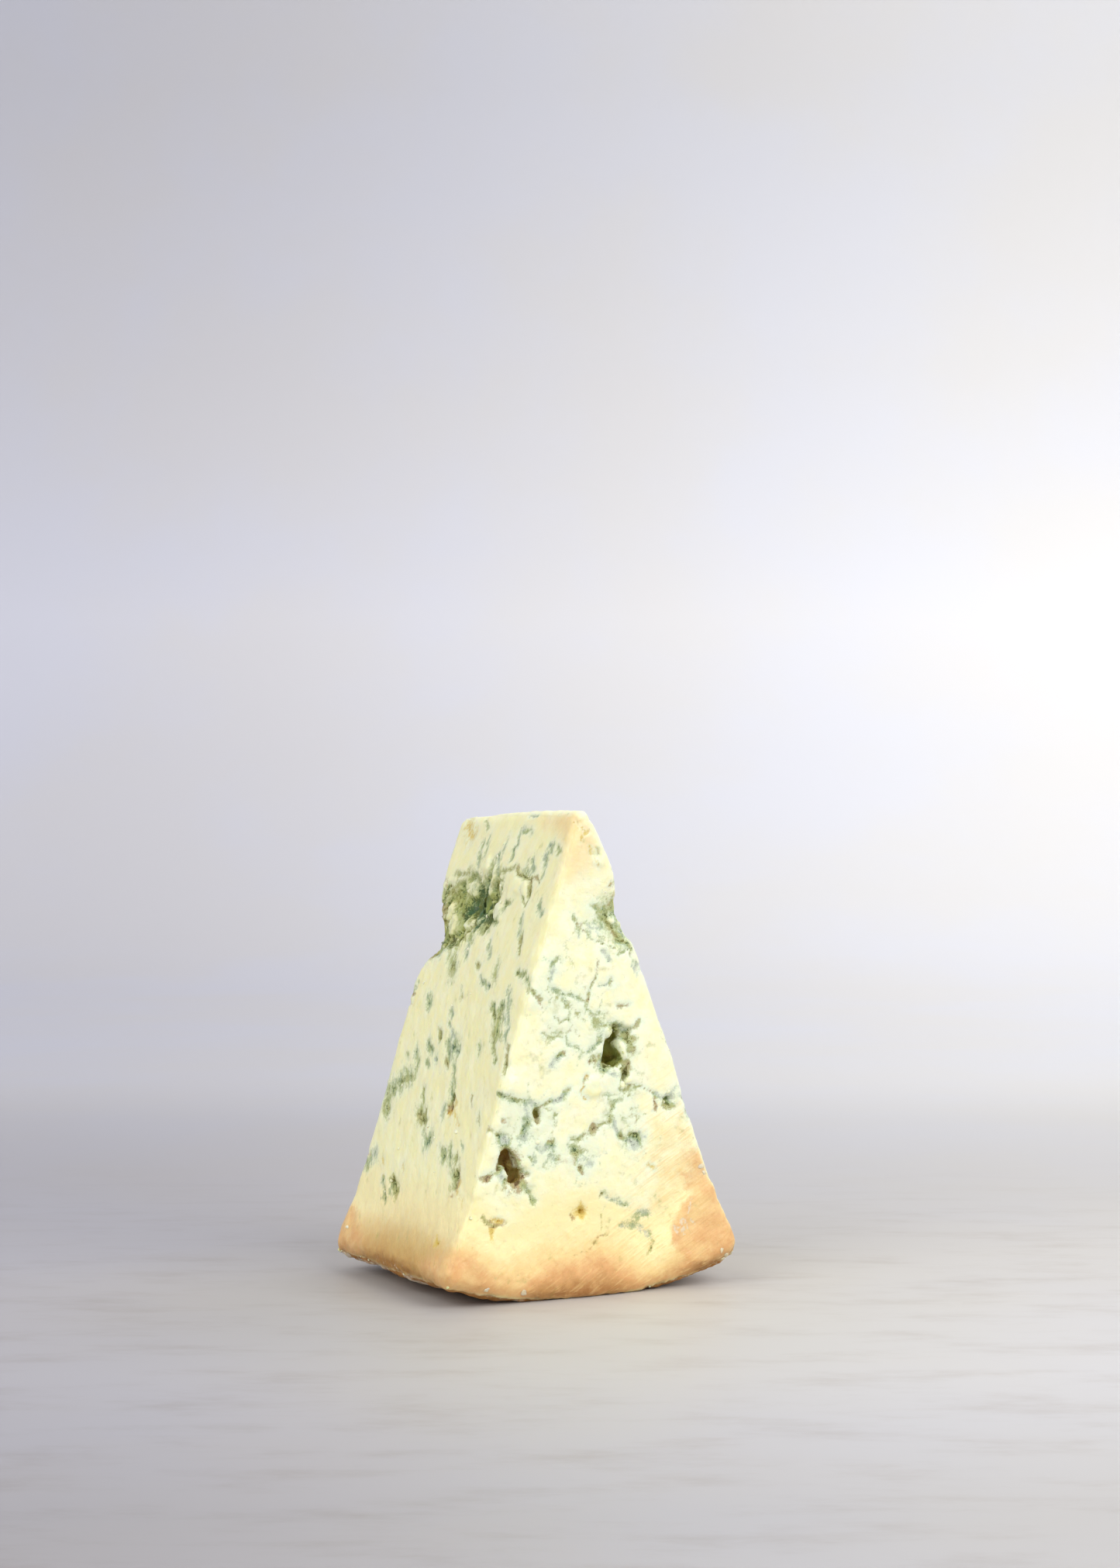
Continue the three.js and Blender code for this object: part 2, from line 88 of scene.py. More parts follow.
# On the front face: across from the wheel's axis, then above the table.
FRONT_VEINS = veins(
    # Round the green cavity.
    (1.1, OLIVE, 1.5, (7, 51.6), (6.9, 49), (5.6, 46), (5, 44.6)),
    (0.9, OLIVE, 1.1, (6.8, 51.9), (8.4, 51.2), (8.8, 50.2), (10.2, 49.6), (10.6, 47.4)),
    (0.6, 0.6, 1.0, (9.4, 50.6), (11, 51.4), (12.4, 52.8)),
    (0.5, 0.4, 0.9, (1.4, 54.6), (2.6, 53.2), (4.2, 52.4), (5.6, 52.4), (6.8, 51.6)),
    (0.7, BLUE, 0.8, (4.4, 51.2), (3.8, 49.8), (2.6, 48.6), (1.4, 47.8)),
    (0.4, 0.6, 1.0, (6.6, 45), (8.2, 45.3), (9.6, 45)),
    (0.65, OLIVE, 1.3, (9.5, 44.6), (9, 43.6), (9.2, 41.6)),
    (0.5, 0.8, 1.0, (1.2, 45.2), (2.1, 45.5), (3, 45)),
    (0.6, BLUE, 0.7, (3.4, 46.6), (4, 44.4), (5.8, 43), (7.8, 42.6)),
    # Down from it, between small pale lumps.
    (0.4, OLIVE, 1.1, (7.9, 41.4), (7.8, 40.2), (8.8, 39.6), (9.9, 40.2), (10.2, 38.8)),
    (0.5, GREEN, 0.8, (8.6, 39.4), (8, 37.8), (6.4, 36.4), (5.3, 35)),
    (0.5, OLIVE, 0.9, (5.3, 35), (5, 33.6), (3.6, 33.2), (2.4, 32.4), (1.2, 31.6)),
    (0.5, BROWN, 0.9, (2.5, 32.9), (2.1, 32)),
    (0.4, OLIVE, 0.8, (1, 31.4), (-0.8, 30.6), (-2.2, 30.2), (-3.4, 31)),
    (0.5, BLUE, 0.8, (6.2, 34.2), (7, 32.6), (7.6, 31.2)),
    (0.5, BROWN, 1.1, (7.8, 31.2), (8.5, 30.4)),
    (1.0, BLUE, 0.9, (9.2, 30), (10.6, 29.2), (11.6, 28.6)),
    (0.7, 0.4, 1.3, (10.2, 30.9), (11.2, 30.3), (11.9, 29.2)),
    (0.6, BLUE, 0.7, (12, 31.4), (12.8, 30), (13.6, 29.6)),
    # The branch to the right edge.
    (0.3, 0.7, 0.9, (9.9, 40.2), (11.6, 40.3), (13.4, 39.8), (14.6, 38.9), (15.6, 38.7)),
    (0.6, BLUE, 0.8, (15.8, 38.4), (17.2, 37.8), (18.6, 38)),
    (0.35, BROWN, 0.8, (15.8, 37.4), (16.3, 36), (16, 35.4)),
    (0.8, 0.55, 1.3, (18.7, 37), (19.4, 36.5)),
    (0.7, BLUE, 0.8, (19.6, 37.6), (20.6, 38.8), (21.5, 40)),
    (0.7, BLUE, 0.9, (22, 38), (23, 36), (23.8, 34)),
    # The long vein across the middle, and what hangs from it.
    (0.42, 0.35, 1.0, (-20.6, 40.4), (-18.6, 39.9), (-16, 39.2), (-13.4, 38.7)),
    (0.9, BLUE, 0.8, (-13.2, 38.4), (-12, 37.8), (-11, 37.6)),
    (0.4, BROWN, 0.9, (-10, 37.3), (-8.6, 37.5), (-7.2, 38.2)),
    (0.8, BLUE, 0.9, (-6.8, 38.2), (-5.4, 38.6), (-4, 39.8)),
    (0.5, 0.6, 1.1, (-4.4, 40), (-3.4, 40.4)),
    (0.75, 0.6, 1.2, (-10.6, 36.7), (-10.4, 35.8)),
    (0.45, 0.6, 1.1, (-10.4, 35.8), (-10.3, 34.4)),
    (0.9, BLUE, 0.8, (-12.4, 36.6), (-12.5, 34.6), (-13.2, 32.8)),
    (1.1, 0.12, 0.9, (-13, 32.4), (-13.5, 31.3)),
    (0.4, 0.6, 0.9, (-12.3, 35), (-13.6, 32.6)),
    (0.5, BROWN, 0.8, (-21, 35.6), (-20.6, 34.6)),
    (0.55, 0.4, 0.9, (-20.6, 33.6), (-19.8, 32.8), (-18.6, 32.2)),
    (1.0, BLUE, 0.9, (-18.7, 32.2), (-17.8, 31), (-16.8, 30.4)),
    (0.55, 0.85, 0.7, (-18.2, 35.6), (-17.6, 35.2)),
    # Round the brown cavity.
    (1.3, 0.78, 1.5, (-17.4, 28.6), (-16.4, 27), (-16, 25), (-15.2, 23)),
    (0.8, BROWN, 1.3, (-18.2, 26.8), (-18.8, 25.8)),
    (0.6, BROWN, 1.2, (-15.4, 25), (-14.2, 24.4), (-13.1, 24.5)),
    (1.0, BLUE, 0.8, (-19.8, 24.8), (-18.2, 24.5), (-16.8, 25.8)),
    (0.5, BROWN, 1.1, (-22.8, 24.6), (-22, 23.9), (-21.2, 24.3)),
    (0.35, BROWN, 0.9, (-20.6, 24.4), (-19.8, 25), (-18.9, 25.2)),
    (0.6, 0.35, 1.0, (-14.4, 23.2), (-13.4, 22), (-12.3, 20.8)),
    (0.75, GREEN, 0.9, (-12.2, 20.6), (-11.4, 19.6), (-11, 18.9)),
    # Lower middle.
    (0.4, GREEN, 0.6, (-12.3, 27.8), (-11.6, 27)),
    (0.8, BLUE, 0.8, (-10.5, 28.8), (-9, 29.4), (-7, 29.2)),
    (0.45, BROWN, 1.1, (-7.9, 30.2), (-7, 29.8)),
    (0.9, 0.25, 1.0, (-3, 28.8), (-2.2, 28.2), (-1.5, 27.7)),
    (0.35, BROWN, 1.0, (-2.7, 28), (-1.7, 27.7)),
    (0.9, BLUE, 0.7, (-1, 26.8), (0.4, 26.6), (1, 25.8)),
    (0.5, 0.6, 1.0, (-1.2, 25.4), (-0.7, 25), (-0.6, 24.2)),
    (0.5, 0.6, 1.0, (3.6, 19.8), (4.6, 19.8)),
    (0.8, BLUE, 0.6, (4.8, 19.6), (6.6, 18.2), (8, 17.4)),
    (0.7, 0.2, 0.85, (7.6, 17.6), (9.2, 16.8)),
    (1.0, TEAL, 0.85, (13.6, 15), (12, 13.9), (11.2, 13), (9.2, 12.6)),
    (0.8, BLUE, 0.6, (12, 13), (13.6, 11.6), (14.4, 10.4)),
    (0.5, 0.4, 0.8, (14.6, 10.8), (14.9, 9.4), (14.6, 7.4)),
    (0.3, BROWN, 0.6, (-2, 8.2), (0, 8.9), (3.4, 10.9), (5.6, 11.1)),
    (0.3, OLIVE, 0.35, (4, 12), (3.6, 14.5), (4.6, 16.8)),
    (0.9, GOLD, 1.3, (-0.7, 16.8), (-0.4, 16)),
    (0.45, BROWN, 1.0, (-2.7, 15.6), (-2, 14.9)),
    (0.5, OLIVE, 0.75, (-22.4, 16.8), (-21.6, 15.6), (-20, 15.1), (-17.6, 15.3)),
    (0.6, GOLD, 1.0, (-19.6, 16), (-18.2, 15.2)),
    (0.6, GOLD, 0.9, (-20.6, 14.4), (-21, 13)),
    (0.4, GOLD, 0.8, (14.6, 24.3), (15.6, 23.6)),
    (0.3, OCHRE, 1.05, (0.4, 42.8), (-0.5, 41.8), (-0.9, 40.4), (-0.6, 39.2), (0.2, 38.4)),
    # Between the cavity and the notch.
    (0.5, BROWN, 1.0, (-6.2, 47.1), (-5.2, 47.5), (-4.8, 47.1)),
    (0.8, BLUE, 0.8, (-5.8, 46.8), (-6.8, 46.1), (-7.1, 45.2)),
    (0.45, 0.2, 0.9, (-4.2, 50.6), (-3.6, 49.4), (-2.2, 48.9), (-1.2, 47.6)),
    (0.45, 0.55, 0.9, (-15.2, 63.4), (-13.4, 62.8), (-12.9, 60.4), (-11.2, 59.2), (-10, 58.6)),
    (0.4, BROWN, 0.8, (-10.3, 57.6), (-9.6, 56.8)),
    (0.4, BLUE, 0.6, (-7.4, 66.4), (-7, 63.4), (-7.4, 61.4)),
    (0.7, 0.1, 0.9, (-7.4, 60.2), (-6, 59.4), (-4.8, 59), (-4.4, 57.8)),
    (0.5, 0.2, 0.9, (-4.2, 58.4), (-2.6, 58.8), (-1, 58.2)),
    (0.4, 0.6, 0.9, (-1.4, 58.5), (0.2, 57.9), (1, 58.4), (1.6, 60), (2.4, 61.4)),
    (0.3, 0.6, 0.5, (2.4, 61.4), (2.2, 63.6), (2.8, 66)),
    (0.5, GREEN, 0.7, (-4.4, 57.6), (-3.6, 55.6), (-3.6, 53.4)),
    (0.35, 0.4, 0.7, (-6.8, 55.2), (-5.6, 53.6), (-3.8, 53.8)),
    (0.4, GREEN, 0.8, (0.4, 57.6), (1, 56), (2.4, 54.4)),
    (0.4, 0.4, 0.7, (-9.8, 51.4), (-8, 50.6), (-6, 51.4), (-4.4, 50.6)),
    (0.35, 0.7, 0.8, (7.4, 56.4), (8.6, 56.1), (10, 56.4)),
    (0.5, BROWN, 1.0, (6.4, 61.7), (6.7, 60.8)),
    (0.35, BLUE, 0.7, (3.6, 60), (5, 60.6), (6.4, 61.4)),
    (0.35, OCHRE, 0.7, (5.4, 80.4), (6.4, 80)),
    # The mouldy notch in the right edge.
    (0.8, GREEN, 1.0, (7, 77.6), (6.4, 75.6), (7.2, 74)),
    (0.6, OLIVE, 1.2, (5.6, 74.6), (5.4, 73), (6.6, 71.6), (8, 70), (9.2, 68.6), (10.8, 67.4)),
    (0.8, TEAL, 0.9, (4.8, 75.4), (3.8, 73.8), (5.2, 72.4)),
    (0.5, BLUE, 0.8, (1.6, 76.4), (3.4, 75.4), (4.8, 75.6)),
    (0.7, BLUE, 0.8, (7, 72.6), (8, 71), (9, 70.6)),
    (0.5, 0.2, 0.7, (-2.6, 74.2), (-1.6, 73), (-1.4, 70.6)),
    (0.3, 0.7, 0.7, (-1.6, 72.6), (0.4, 71), (2, 69.6), (4.6, 68.8), (7, 68)),
    (0.6, BLUE, 0.8, (4, 67.4), (5.4, 66.4), (5.6, 65.4)),
    (0.4, 0.6, 0.9, (8, 66.6), (9.4, 67.2), (10.4, 66.4)),
    # Dry cracks and a crusted bubble beside the tip.
    (0.24, 1.1, 0.95, (0.7, 91.1), (-0.5, 90.3), (-0.9, 88.3)),
    (0.22, 1.1, 0.9, (0.7, 91.1), (-0.8, 92.3), (-2.8, 93)),
    (0.26, 1.1, 0.95, (1, 88.4), (1.2, 86.8), (2, 85.4), (3.4, 84.4)),
    (0.22, 1.1, 0.8, (1.8, 88.2), (2.8, 87.8), (3.4, 86.6)),
    (0.7, 0.1, 0.4, (2.4, 87), (3.2, 86)),
)

# On the left cut: behind the front face, then the reach from the wheel's axis.
LEFT_VEINS = veins(
    # The mouldy crevices below the tip.
    (1.2, 0.02, 2.2, (36.4, 27.4), (34.6, 26.8), (33.1, 24.9), (32.2, 26.2), (30.6, 27.8)),
    (1.0, 0.25, 1.5, (30.6, 27.8), (28.6, 29.6), (26.6, 30), (24.6, 30)),
    (1.3, 0.25, 1.0, (36.6, 24), (34.6, 24.4), (33, 26.4), (35, 28)),
    (0.7, OLIVE, 0.6, (46.8, 21.4), (43, 21), (40.6, 20.2), (38.8, 20.6)),
    (0.8, GREEN, 0.9, (38.8, 21), (36.2, 21), (34.2, 22.4), (33, 24.4)),
    (1.2, 0.35, 1.0, (41.4, 23.8), (40.4, 26.8), (38.8, 29.4), (36, 29.9), (34, 30.2)),
    (1.1, OLIVE, 0.9, (46.4, 24.6), (44, 25.4), (41.6, 25.8)),
    (1.3, 0.4, 1.0, (46.4, 27), (46.2, 31), (45, 33.4), (42.6, 34.8)),
    (1.3, GREEN, 1.2, (48.6, 25.4), (49.6, 29), (49.2, 33), (47.4, 36)),
    (0.8, OLIVE, 1.4, (42.4, 34.8), (40, 35.3), (37.4, 34.9), (36.6, 33.4)),
    (1.0, 0.35, 0.9, (37.8, 33.6), (36.6, 31.8), (38.6, 30)),
    (0.8, TEAL, 0.9, (46, 35.8), (43, 36.6), (40, 36.2)),
    (0.8, BLUE, 0.8, (45.6, 38.2), (42.4, 37.6)),
    (0.9, GREEN, 0.7, (30.6, 18), (29.4, 21.6), (28.4, 25), (28.2, 28)),
    (0.9, 0.4, 0.9, (26.8, 22.4), (25.4, 26.4)),
    (0.7, 0.4, 0.8, (24, 23.4), (24.6, 27)),
    (0.5, GREEN, 1.1, (24, 30), (21.8, 30.2), (20.6, 28.2), (19.6, 26), (17.8, 25.4)),
    (0.4, OLIVE, 0.8, (25.4, 19.4), (23.6, 19.9), (21.6, 19.4), (20.6, 18.4)),
    (0.4, 0.7, 1.0, (19.2, 18.8), (17.4, 20.1), (15, 20.6), (12.8, 21)),
    (0.3, BROWN, 0.9, (12.6, 20.8), (11, 20.6), (9.4, 21.4), (8, 21.7)),
    (0.3, BROWN, 1.1, (11.8, 21.2), (11, 23), (10.7, 24.8), (11.3, 26.2)),
    (0.3, OLIVE, 0.9, (15, 23.2), (12.8, 24.8), (11.4, 26.2)),
    (0.8, GREEN, 0.7, (15.6, 18.4), (14.2, 20.4)),
    (0.7, BLUE, 0.7, (28.6, 16.4), (28, 20.6)),
    (0.8, BLUE, 0.6, (37.4, 14), (36.6, 19)),
    (0.8, GREEN, 0.7, (33.4, 31), (32, 33.6), (29.6, 34.4)),
    # Streaks up to the tip.
    (0.6, BLUE, 0.7, (22.6, 14.6), (22.8, 17.4)),
    (0.7, BLUE, 0.7, (21.6, 13.8), (21.4, 11.6), (20.6, 10.2)),
    (0.4, TEAL, 0.8, (20.4, 11.4), (17.8, 11), (16.8, 11.8)),
    (0.25, BLUE, 0.6, (19.8, 8), (16.4, 7.7)),
    (0.8, BLUE, 0.4, (34.6, 12.6), (34.9, 17)),
    (0.8, BLUE, 0.4, (26.6, 13), (27, 17)),
    (1.3, GOLD, 0.6, (46.4, 9.8), (44.6, 11), (42.8, 13)),
    (0.5, OLIVE, 0.5, (38.6, 9.4), (36.6, 11)),
    (0.6, BLUE, 0.8, (8, 13.6), (6.6, 14.6)),
    (0.8, BLUE, 0.7, (8.8, 15.8), (7.6, 18.6), (7.8, 20.4)),
    (0.5, OLIVE, 0.7, (4.6, 14), (3, 15.2)),
    (0.8, BLUE, 0.6, (13.2, 17.2), (12.2, 19.4)),
    (0.6, BLUE, 0.8, (6, 26), (3.6, 28)),
    (0.8, BLUE, 0.6, (11.6, 28.6), (10.8, 32)),
    (0.45, BROWN, 1.2, (9.4, 32.6), (9.1, 34.4), (8.6, 36)),
    # Middle of the cut.
    (0.8, BLUE, 0.8, (31.4, 35.4), (30.8, 37.6)),
    (0.4, 0.6, 1.0, (24.8, 39), (23.6, 39.6)),
    (0.8, BLUE, 0.7, (22.2, 34.8), (20.8, 37)),
    (1.4, GREEN, 0.7, (37.6, 38.4), (35.6, 40), (34.4, 42)),
    (0.5, OLIVE, 0.8, (36, 39.4), (35, 40.8)),
    (0.5, BLUE, 0.9, (21.8, 42.2), (20, 43), (17.4, 43.5)),
    (1.1, 0.35, 0.6, (16.8, 39.2), (15.6, 41.6)),
    (0.45, GREEN, 0.9, (7, 40), (3.6, 40.4), (1, 41.6), (0.4, 43)),
    (0.6, 0.85, 0.5, (28.6, 45), (27.6, 46.6)),
    (0.8, TEAL, 0.9, (42, 47.8), (41, 48.8)),
    (0.6, BLUE, 0.8, (30.4, 49.8), (29.6, 50.4)),
    (0.5, BLUE, 0.8, (30, 51.8), (29.4, 52.6)),
    (0.7, GREEN, 1.1, (13.8, 47.2), (12, 49), (11, 49.6)),
    (1.1, 0.35, 1.2, (9.2, 48.4), (8.8, 51), (8.4, 52)),
    (0.6, OLIVE, 1.0, (10, 53.2), (8.8, 54.2), (7.8, 55.4), (6.6, 57.4)),
    (1.1, BLUE, 0.7, (8, 44.6), (6.8, 47), (5.4, 50)),
    (0.7, BLUE, 0.7, (4.8, 50.6), (4.6, 53)),
    (0.7, 0.35, 0.6, (14.2, 55.6), (13.6, 57)),
    (0.7, BROWN, 0.9, (2.2, 54.8), (1.6, 57), (1.2, 59.4)),
    # Lower part of the cut.
    (0.6, OLIVE, 1.0, (33.2, 53.8), (32, 55)),
    (0.7, TEAL, 0.9, (36.6, 56.6), (35.4, 58), (34, 58.3)),
    (0.6, BLUE, 0.8, (31.8, 59.9), (31, 60)),
    (0.6, GREEN, 0.8, (35.2, 61.2), (33.8, 60.8)),
    (0.7, GREEN, 0.6, (44.6, 59.8), (43.8, 60.6)),
    (0.9, 0.25, 0.8, (40.8, 59), (39.2, 60.6), (38.8, 63.2)),
    (1.2, 0.2, 0.9, (40.4, 64.4), (42.6, 65), (45, 66.4), (47.4, 67.6)),
    (1.4, GREEN, 0.9, (49, 68.4), (48, 70.2), (46.8, 71.6)),
    (0.8, 0.4, 0.9, (48.4, 72), (46.6, 71.2)),
    (0.7, BLUE, 1.0, (27.4, 53.8), (26.4, 54.6)),
    (1.2, 0.12, 1.0, (27.2, 56.6), (25.8, 57.8), (23.6, 56.6)),
    (0.6, BROWN, 0.9, (26.8, 60), (25.8, 60.4)),
    (0.9, BLUE, 0.6, (24, 59), (22.4, 61), (20.6, 64)),
    (0.8, 0.4, 0.9, (33, 66.4), (32, 68.6)),
    (1.1, OLIVE, 1.1, (32.2, 70.8), (31, 71.6), (29.6, 71.4)),
    (0.5, OLIVE, 0.9, (27.8, 74), (26.8, 75.2)),
    (0.9, 0.1, 0.9, (26.8, 75.2), (25.4, 77), (24, 74.8)),
    (0.9, BLUE, 0.8, (21, 64.6), (20.2, 66.4)),
    (0.8, BROWN, 1.4, (19.6, 66.6), (18.8, 68.4)),
    (0.7, BLUE, 0.9, (21.4, 68.4), (21.8, 70.4)),
    (0.5, 0.85, 0.6, (11.4, 65.6), (11, 67)),
    (1.4, GOLD, 0.15, (18, 69), (14, 71.4)),
    (0.6, 0.65, 0.9, (6.6, 69), (5.8, 69.8)),
    (0.8, 0.2, 1.0, (18, 77.4), (16.6, 78.2), (15.8, 78)),
    (0.7, GREEN, 1.0, (14.4, 76.6), (13.6, 77.6)),
    (0.7, 0.55, 0.9, (10.8, 78), (10.6, 79)),
    (0.6, BLUE, 0.6, (10.4, 75), (9.6, 75.4)),
    (1.0, GREEN, 0.6, (12.6, 79.6), (10, 81)),
    (1.0, OLIVE, 1.3, (9, 80.8), (8.5, 83.2)),
    (1.4, GOLD, 0.25, (6, 84), (4, 85.6)),
    (1.0, TEAL, 0.9, (51, 83.4), (49, 83.6)),
    (1.0, BLUE, 0.8, (48.6, 83), (46.6, 81)),
    (0.8, GOLD, 0.4, (42.6, 82.2), (41.6, 83)),
    (0.7, 0.9, 0.4, (32.6, 82), (31.6, 83.4)),
    (0.9, OLIVE, 1.2, (35, 86), (33.4, 86.6), (32.6, 87.4)),
    (0.7, TEAL, 0.9, (39.4, 86.4), (38.2, 88), (36.4, 89.6)),
    (0.6, BLUE, 0.7, (36, 87.6), (34.4, 88.4)),
    (0.5, GOLD, 1.2, (9, 94.4), (8, 94.6)),
)

# Patches on the same maps: centre, half sizes and turn in degrees.
Patch = namedtuple("Patch", "centre half turn", defaults=[0])
MOULD = {
    "left": [
        Patch((39.4, 27.6), (9, 8.4), 10),
        Patch((29, 24.6), (7, 6), 10),
        Patch((44.5, 33.5), (4.6, 4), -20),
    ],
    "front": [Patch((6, 74), (4.2, 3.6), -30), Patch((8.6, 69.8), (2.6, 3.6), 30)],
    "right": [Patch((2, 27), (5, 7)), Patch((49.5, 38), (5, 6))],
    "back": [Patch((-9.5, 69), (4.5, 6), 20), Patch((12.5, 64), (3.5, 6), -20)],
}
# Pale lumps that stand proud among the mould.
BLOOM = {
    "left": [
        Patch((44.4, 28.8), (1.8, 2.2)),
        Patch((41.6, 31.4), (1.8, 2.4), 10),
        Patch((36.8, 24), (1.8, 1.7)),
        Patch((32.2, 21), (1.2, 4.2), 4),
        Patch((28.8, 21.6), (1.0, 3.2), -4),
        Patch((34.6, 30.8), (1.7, 1.0), 15),
        Patch((22.6, 28), (2.7, 1.6), -25),
        Patch((17.4, 22.6), (3.2, 1.7)),
        Patch((18.4, 24.4), (1.5, 1.6)),
        Patch((13.4, 22.8), (1.3, 1.8)),
    ],
    "front": [
        Patch((8.3, 47.5), (1.0, 2.1), 10),
        Patch((8.7, 40.6), (0.9, 0.8)),
        Patch((9.8, 41.6), (0.6, 0.6)),
        Patch((5.8, 50.9), (0.9, 1.6), 20),
        Patch((-17.3, 25.2), (0.9, 1.1)),
        Patch((6.4, 73.2), (0.8, 0.6)),
        Patch((1.8, 40.6), (1.7, 2.1)),
        Patch((2.8, 86.4), (1.5, 2.2), 15),
    ],
}
# Where the holes' far sides are broken away.
PITS = [Patch((7, 46.4), (1.4, 2.2), 15), Patch((-15.4, 24.6), (1.5, 1.2), -30)]
# Paste that mould has turned minty white.
MINT = [
    Patch((-9.5, 62), (5, 6)),
    Patch((-4, 55), (7, 6)),
    Patch((4, 49), (6, 7), 10),
    Patch((8, 37), (5, 7), 10),
    Patch((-12, 34), (7, 6)),
    Patch((-9, 28), (5, 3)),
    Patch((0, 27), (4, 4)),
    Patch((11, 30), (4, 3)),
    Patch((2, 74), (6, 4)),
]
# Dried, apricot-coloured paste at the front's right corner, and the yellower paste round it.
SMEAR = [Patch((29.5, 11.4), (10.2, 8))]
SMEAR_TOP = [Patch((28.6, 19), (5.4, 10), 20)]
CORNERS = {
    "left": [Patch((51, 101), (11, 8)), Patch((-2, 102), (13, 7))],
    "front": [Patch((-29.5, 4), (6.5, 10), 15)],
    "back": [Patch((-30, 5), (6, 8), 15), Patch((32, 7), (6, 8), -15)],
}
DRYING = [Patch((30, 15), (13, 20), 16), Patch((24, 8), (16, 8))]
KHAKI = [Patch((19, 103), (27, 10.5))]
TIP = {"left": [Patch((4, 6.5), (11, 5))], "front": [Patch((0, 90), (5, 9))]}
# How far the browned margin reaches in from the rind, in millimetres, how much less on the
# left cut, and how much less on the front round a place across and over a width.
MARGIN_DEPTH = 28
LEFT_LESS = 2.2
FRONT_LESS = [(3.2, -17.5, 6), (4.2, 15.5, 6), (-2.3, -1, 9)]
# How deep its darkest part is, and how much deeper on the left cut.
CRUST_DEPTH = 1.8
LEFT_CRUST = 2.6
# White scratches in the smear.
SCRATCH_WIDTH = 0.55
SCRATCHES = [
    [(21.2, 12.8), (21.9, 11.2)],
    [(21.8, 13.6), (22.8, 11.6)],
    [(22.8, 14.2), (23.4, 15.6), (23.8, 17)],
    [(20.6, 11.8), (22, 10.4)],
    [(23.6, 13.2), (24.4, 12.2)],
    [(19.6, 12), (20.4, 10.6)],
]


# --- Sizes and colours that a user would change ---


def length(name, description, metres):
    """A length that shows in the scene's units."""
    return bpy.props.FloatProperty(
        name=name, description=description, default=metres, unit="LENGTH", precision=5
    )


def turn(name, description, degrees):
    """An angle, given in degrees."""
    return bpy.props.FloatProperty(
        name=name, description=description, default=math.radians(degrees), subtype="ANGLE"
    )


def tint(name, description, red, green, blue):
    """A colour, given as it looks on a screen, each part from 0 to 255."""
    shown = [part / 255 for part in (red, green, blue)]
    linear = [v / 12.92 if v < 0.04045 else ((v + 0.055) / 1.055) ** 2.4 for v in shown]
    return bpy.props.FloatVectorProperty(
        name=name, description=description, default=linear, subtype="COLOR", size=3, min=0, max=1
    )


class WedgeSizes(bpy.types.PropertyGroup):
    """The wedge's own sizes, which place its faces, and how deep its surface is worked."""

    mesh_step: length("Mesh step", "Edge length of the fine mesh", 0.00046)
    wheel_radius: length("Wheel radius", "From the wheel's axis to the rind", 0.1014)
    thickness: length("Thickness", "Along the wheel's axis", 0.0514)
    rest_depth: length("Rest depth", "How far the rind is squashed where it stands", 0.0009)
    axis_across: length("Axis across", "The wheel's axis, from the middle of the box", -0.0022)
    left_angle: turn("Left angle", "From straight down to the left cut", 17.5)
    right_angle: turn("Right angle", "From straight down to the right cut", 20.1)
    stroke_lean: turn("Stroke lean", "Most that the knife's strokes lean, on the left", 21)
    tip_reach: length("Tip reach", "From the wheel's axis to the cut-off tip", 0.0058)
    groove: length("Groove", "Depth of a plain vein", 0.00022)
    fissure: length("Fissure", "Depth of the crevices between lumps of mouldy paste", 0.001)
    lump: length("Lump", "How far a pale lump stands proud of the mould", 0.0006)
    grain: length("Grain", "Unevenness of the cut paste", 0.00007)
    wrinkle: length("Wrinkle", "Unevenness of the rind", 0.0004)


class CheeseColours(bpy.types.PropertyGroup):
    """The colours of the paste, its mould and its rind."""

    cream: tint("Cream", "Fresh paste", 252, 249, 216)
    butter: tint("Butter", "Denser, yellower paste", 247, 241, 184)
    mint: tint("Mint", "Paste round the mould", 231, 240, 214)
    moss: tint("Moss", "Paste steeped in mould", 162, 172, 92)
    straw: tint("Straw", "Paste that begins to dry", 250, 236, 180)
    peach: tint("Peach", "Dried paste near the rind", 242, 212, 149)
    apricot: tint("Apricot", "Smeared paste at a corner", 224, 172, 114)
    khaki: tint("Khaki", "Dried paste low on the left cut", 194, 158, 88)
    orange: tint("Orange", "Paste just inside the rind", 200, 152, 94)
    tan: tint("Tan", "Rind", 172, 118, 64)
    umber: tint("Umber", "Dark creases of the rind", 158, 108, 46)
    bloom: tint("Bloom", "White bloom on the rind", 226, 214, 190)
    soft_blue: tint("Soft blue", "Blue-grey mould, thin", 180, 188, 172)
    soft_teal: tint("Soft teal", "Blue-green mould, thin", 128, 152, 104)
    soft_green: tint("Soft green", "Grey-green mould, thin", 150, 162, 84)
    soft_olive: tint("Soft olive", "Olive mould, thin", 156, 154, 66)
    soft_brown: tint("Soft brown", "Brown mould, thin", 154, 114, 50)
    soft_ochre: tint("Soft ochre", "Ochre stain, thin", 216, 188, 78)
    dark_blue: tint("Dark blue", "Blue-grey mould, thick", 112, 112, 96)
    dark_teal: tint("Dark teal", "Blue-green mould, thick", 30, 84, 48)
    dark_green: tint("Dark green", "Grey-green mould, thick", 74, 90, 36)
    dark_olive: tint("Dark olive", "Olive mould, thick", 104, 100, 30)
    dark_brown: tint("Dark brown", "Brown mould, thick", 94, 62, 20)
    dark_ochre: tint("Dark ochre", "Ochre stain, thick", 194, 146, 36)


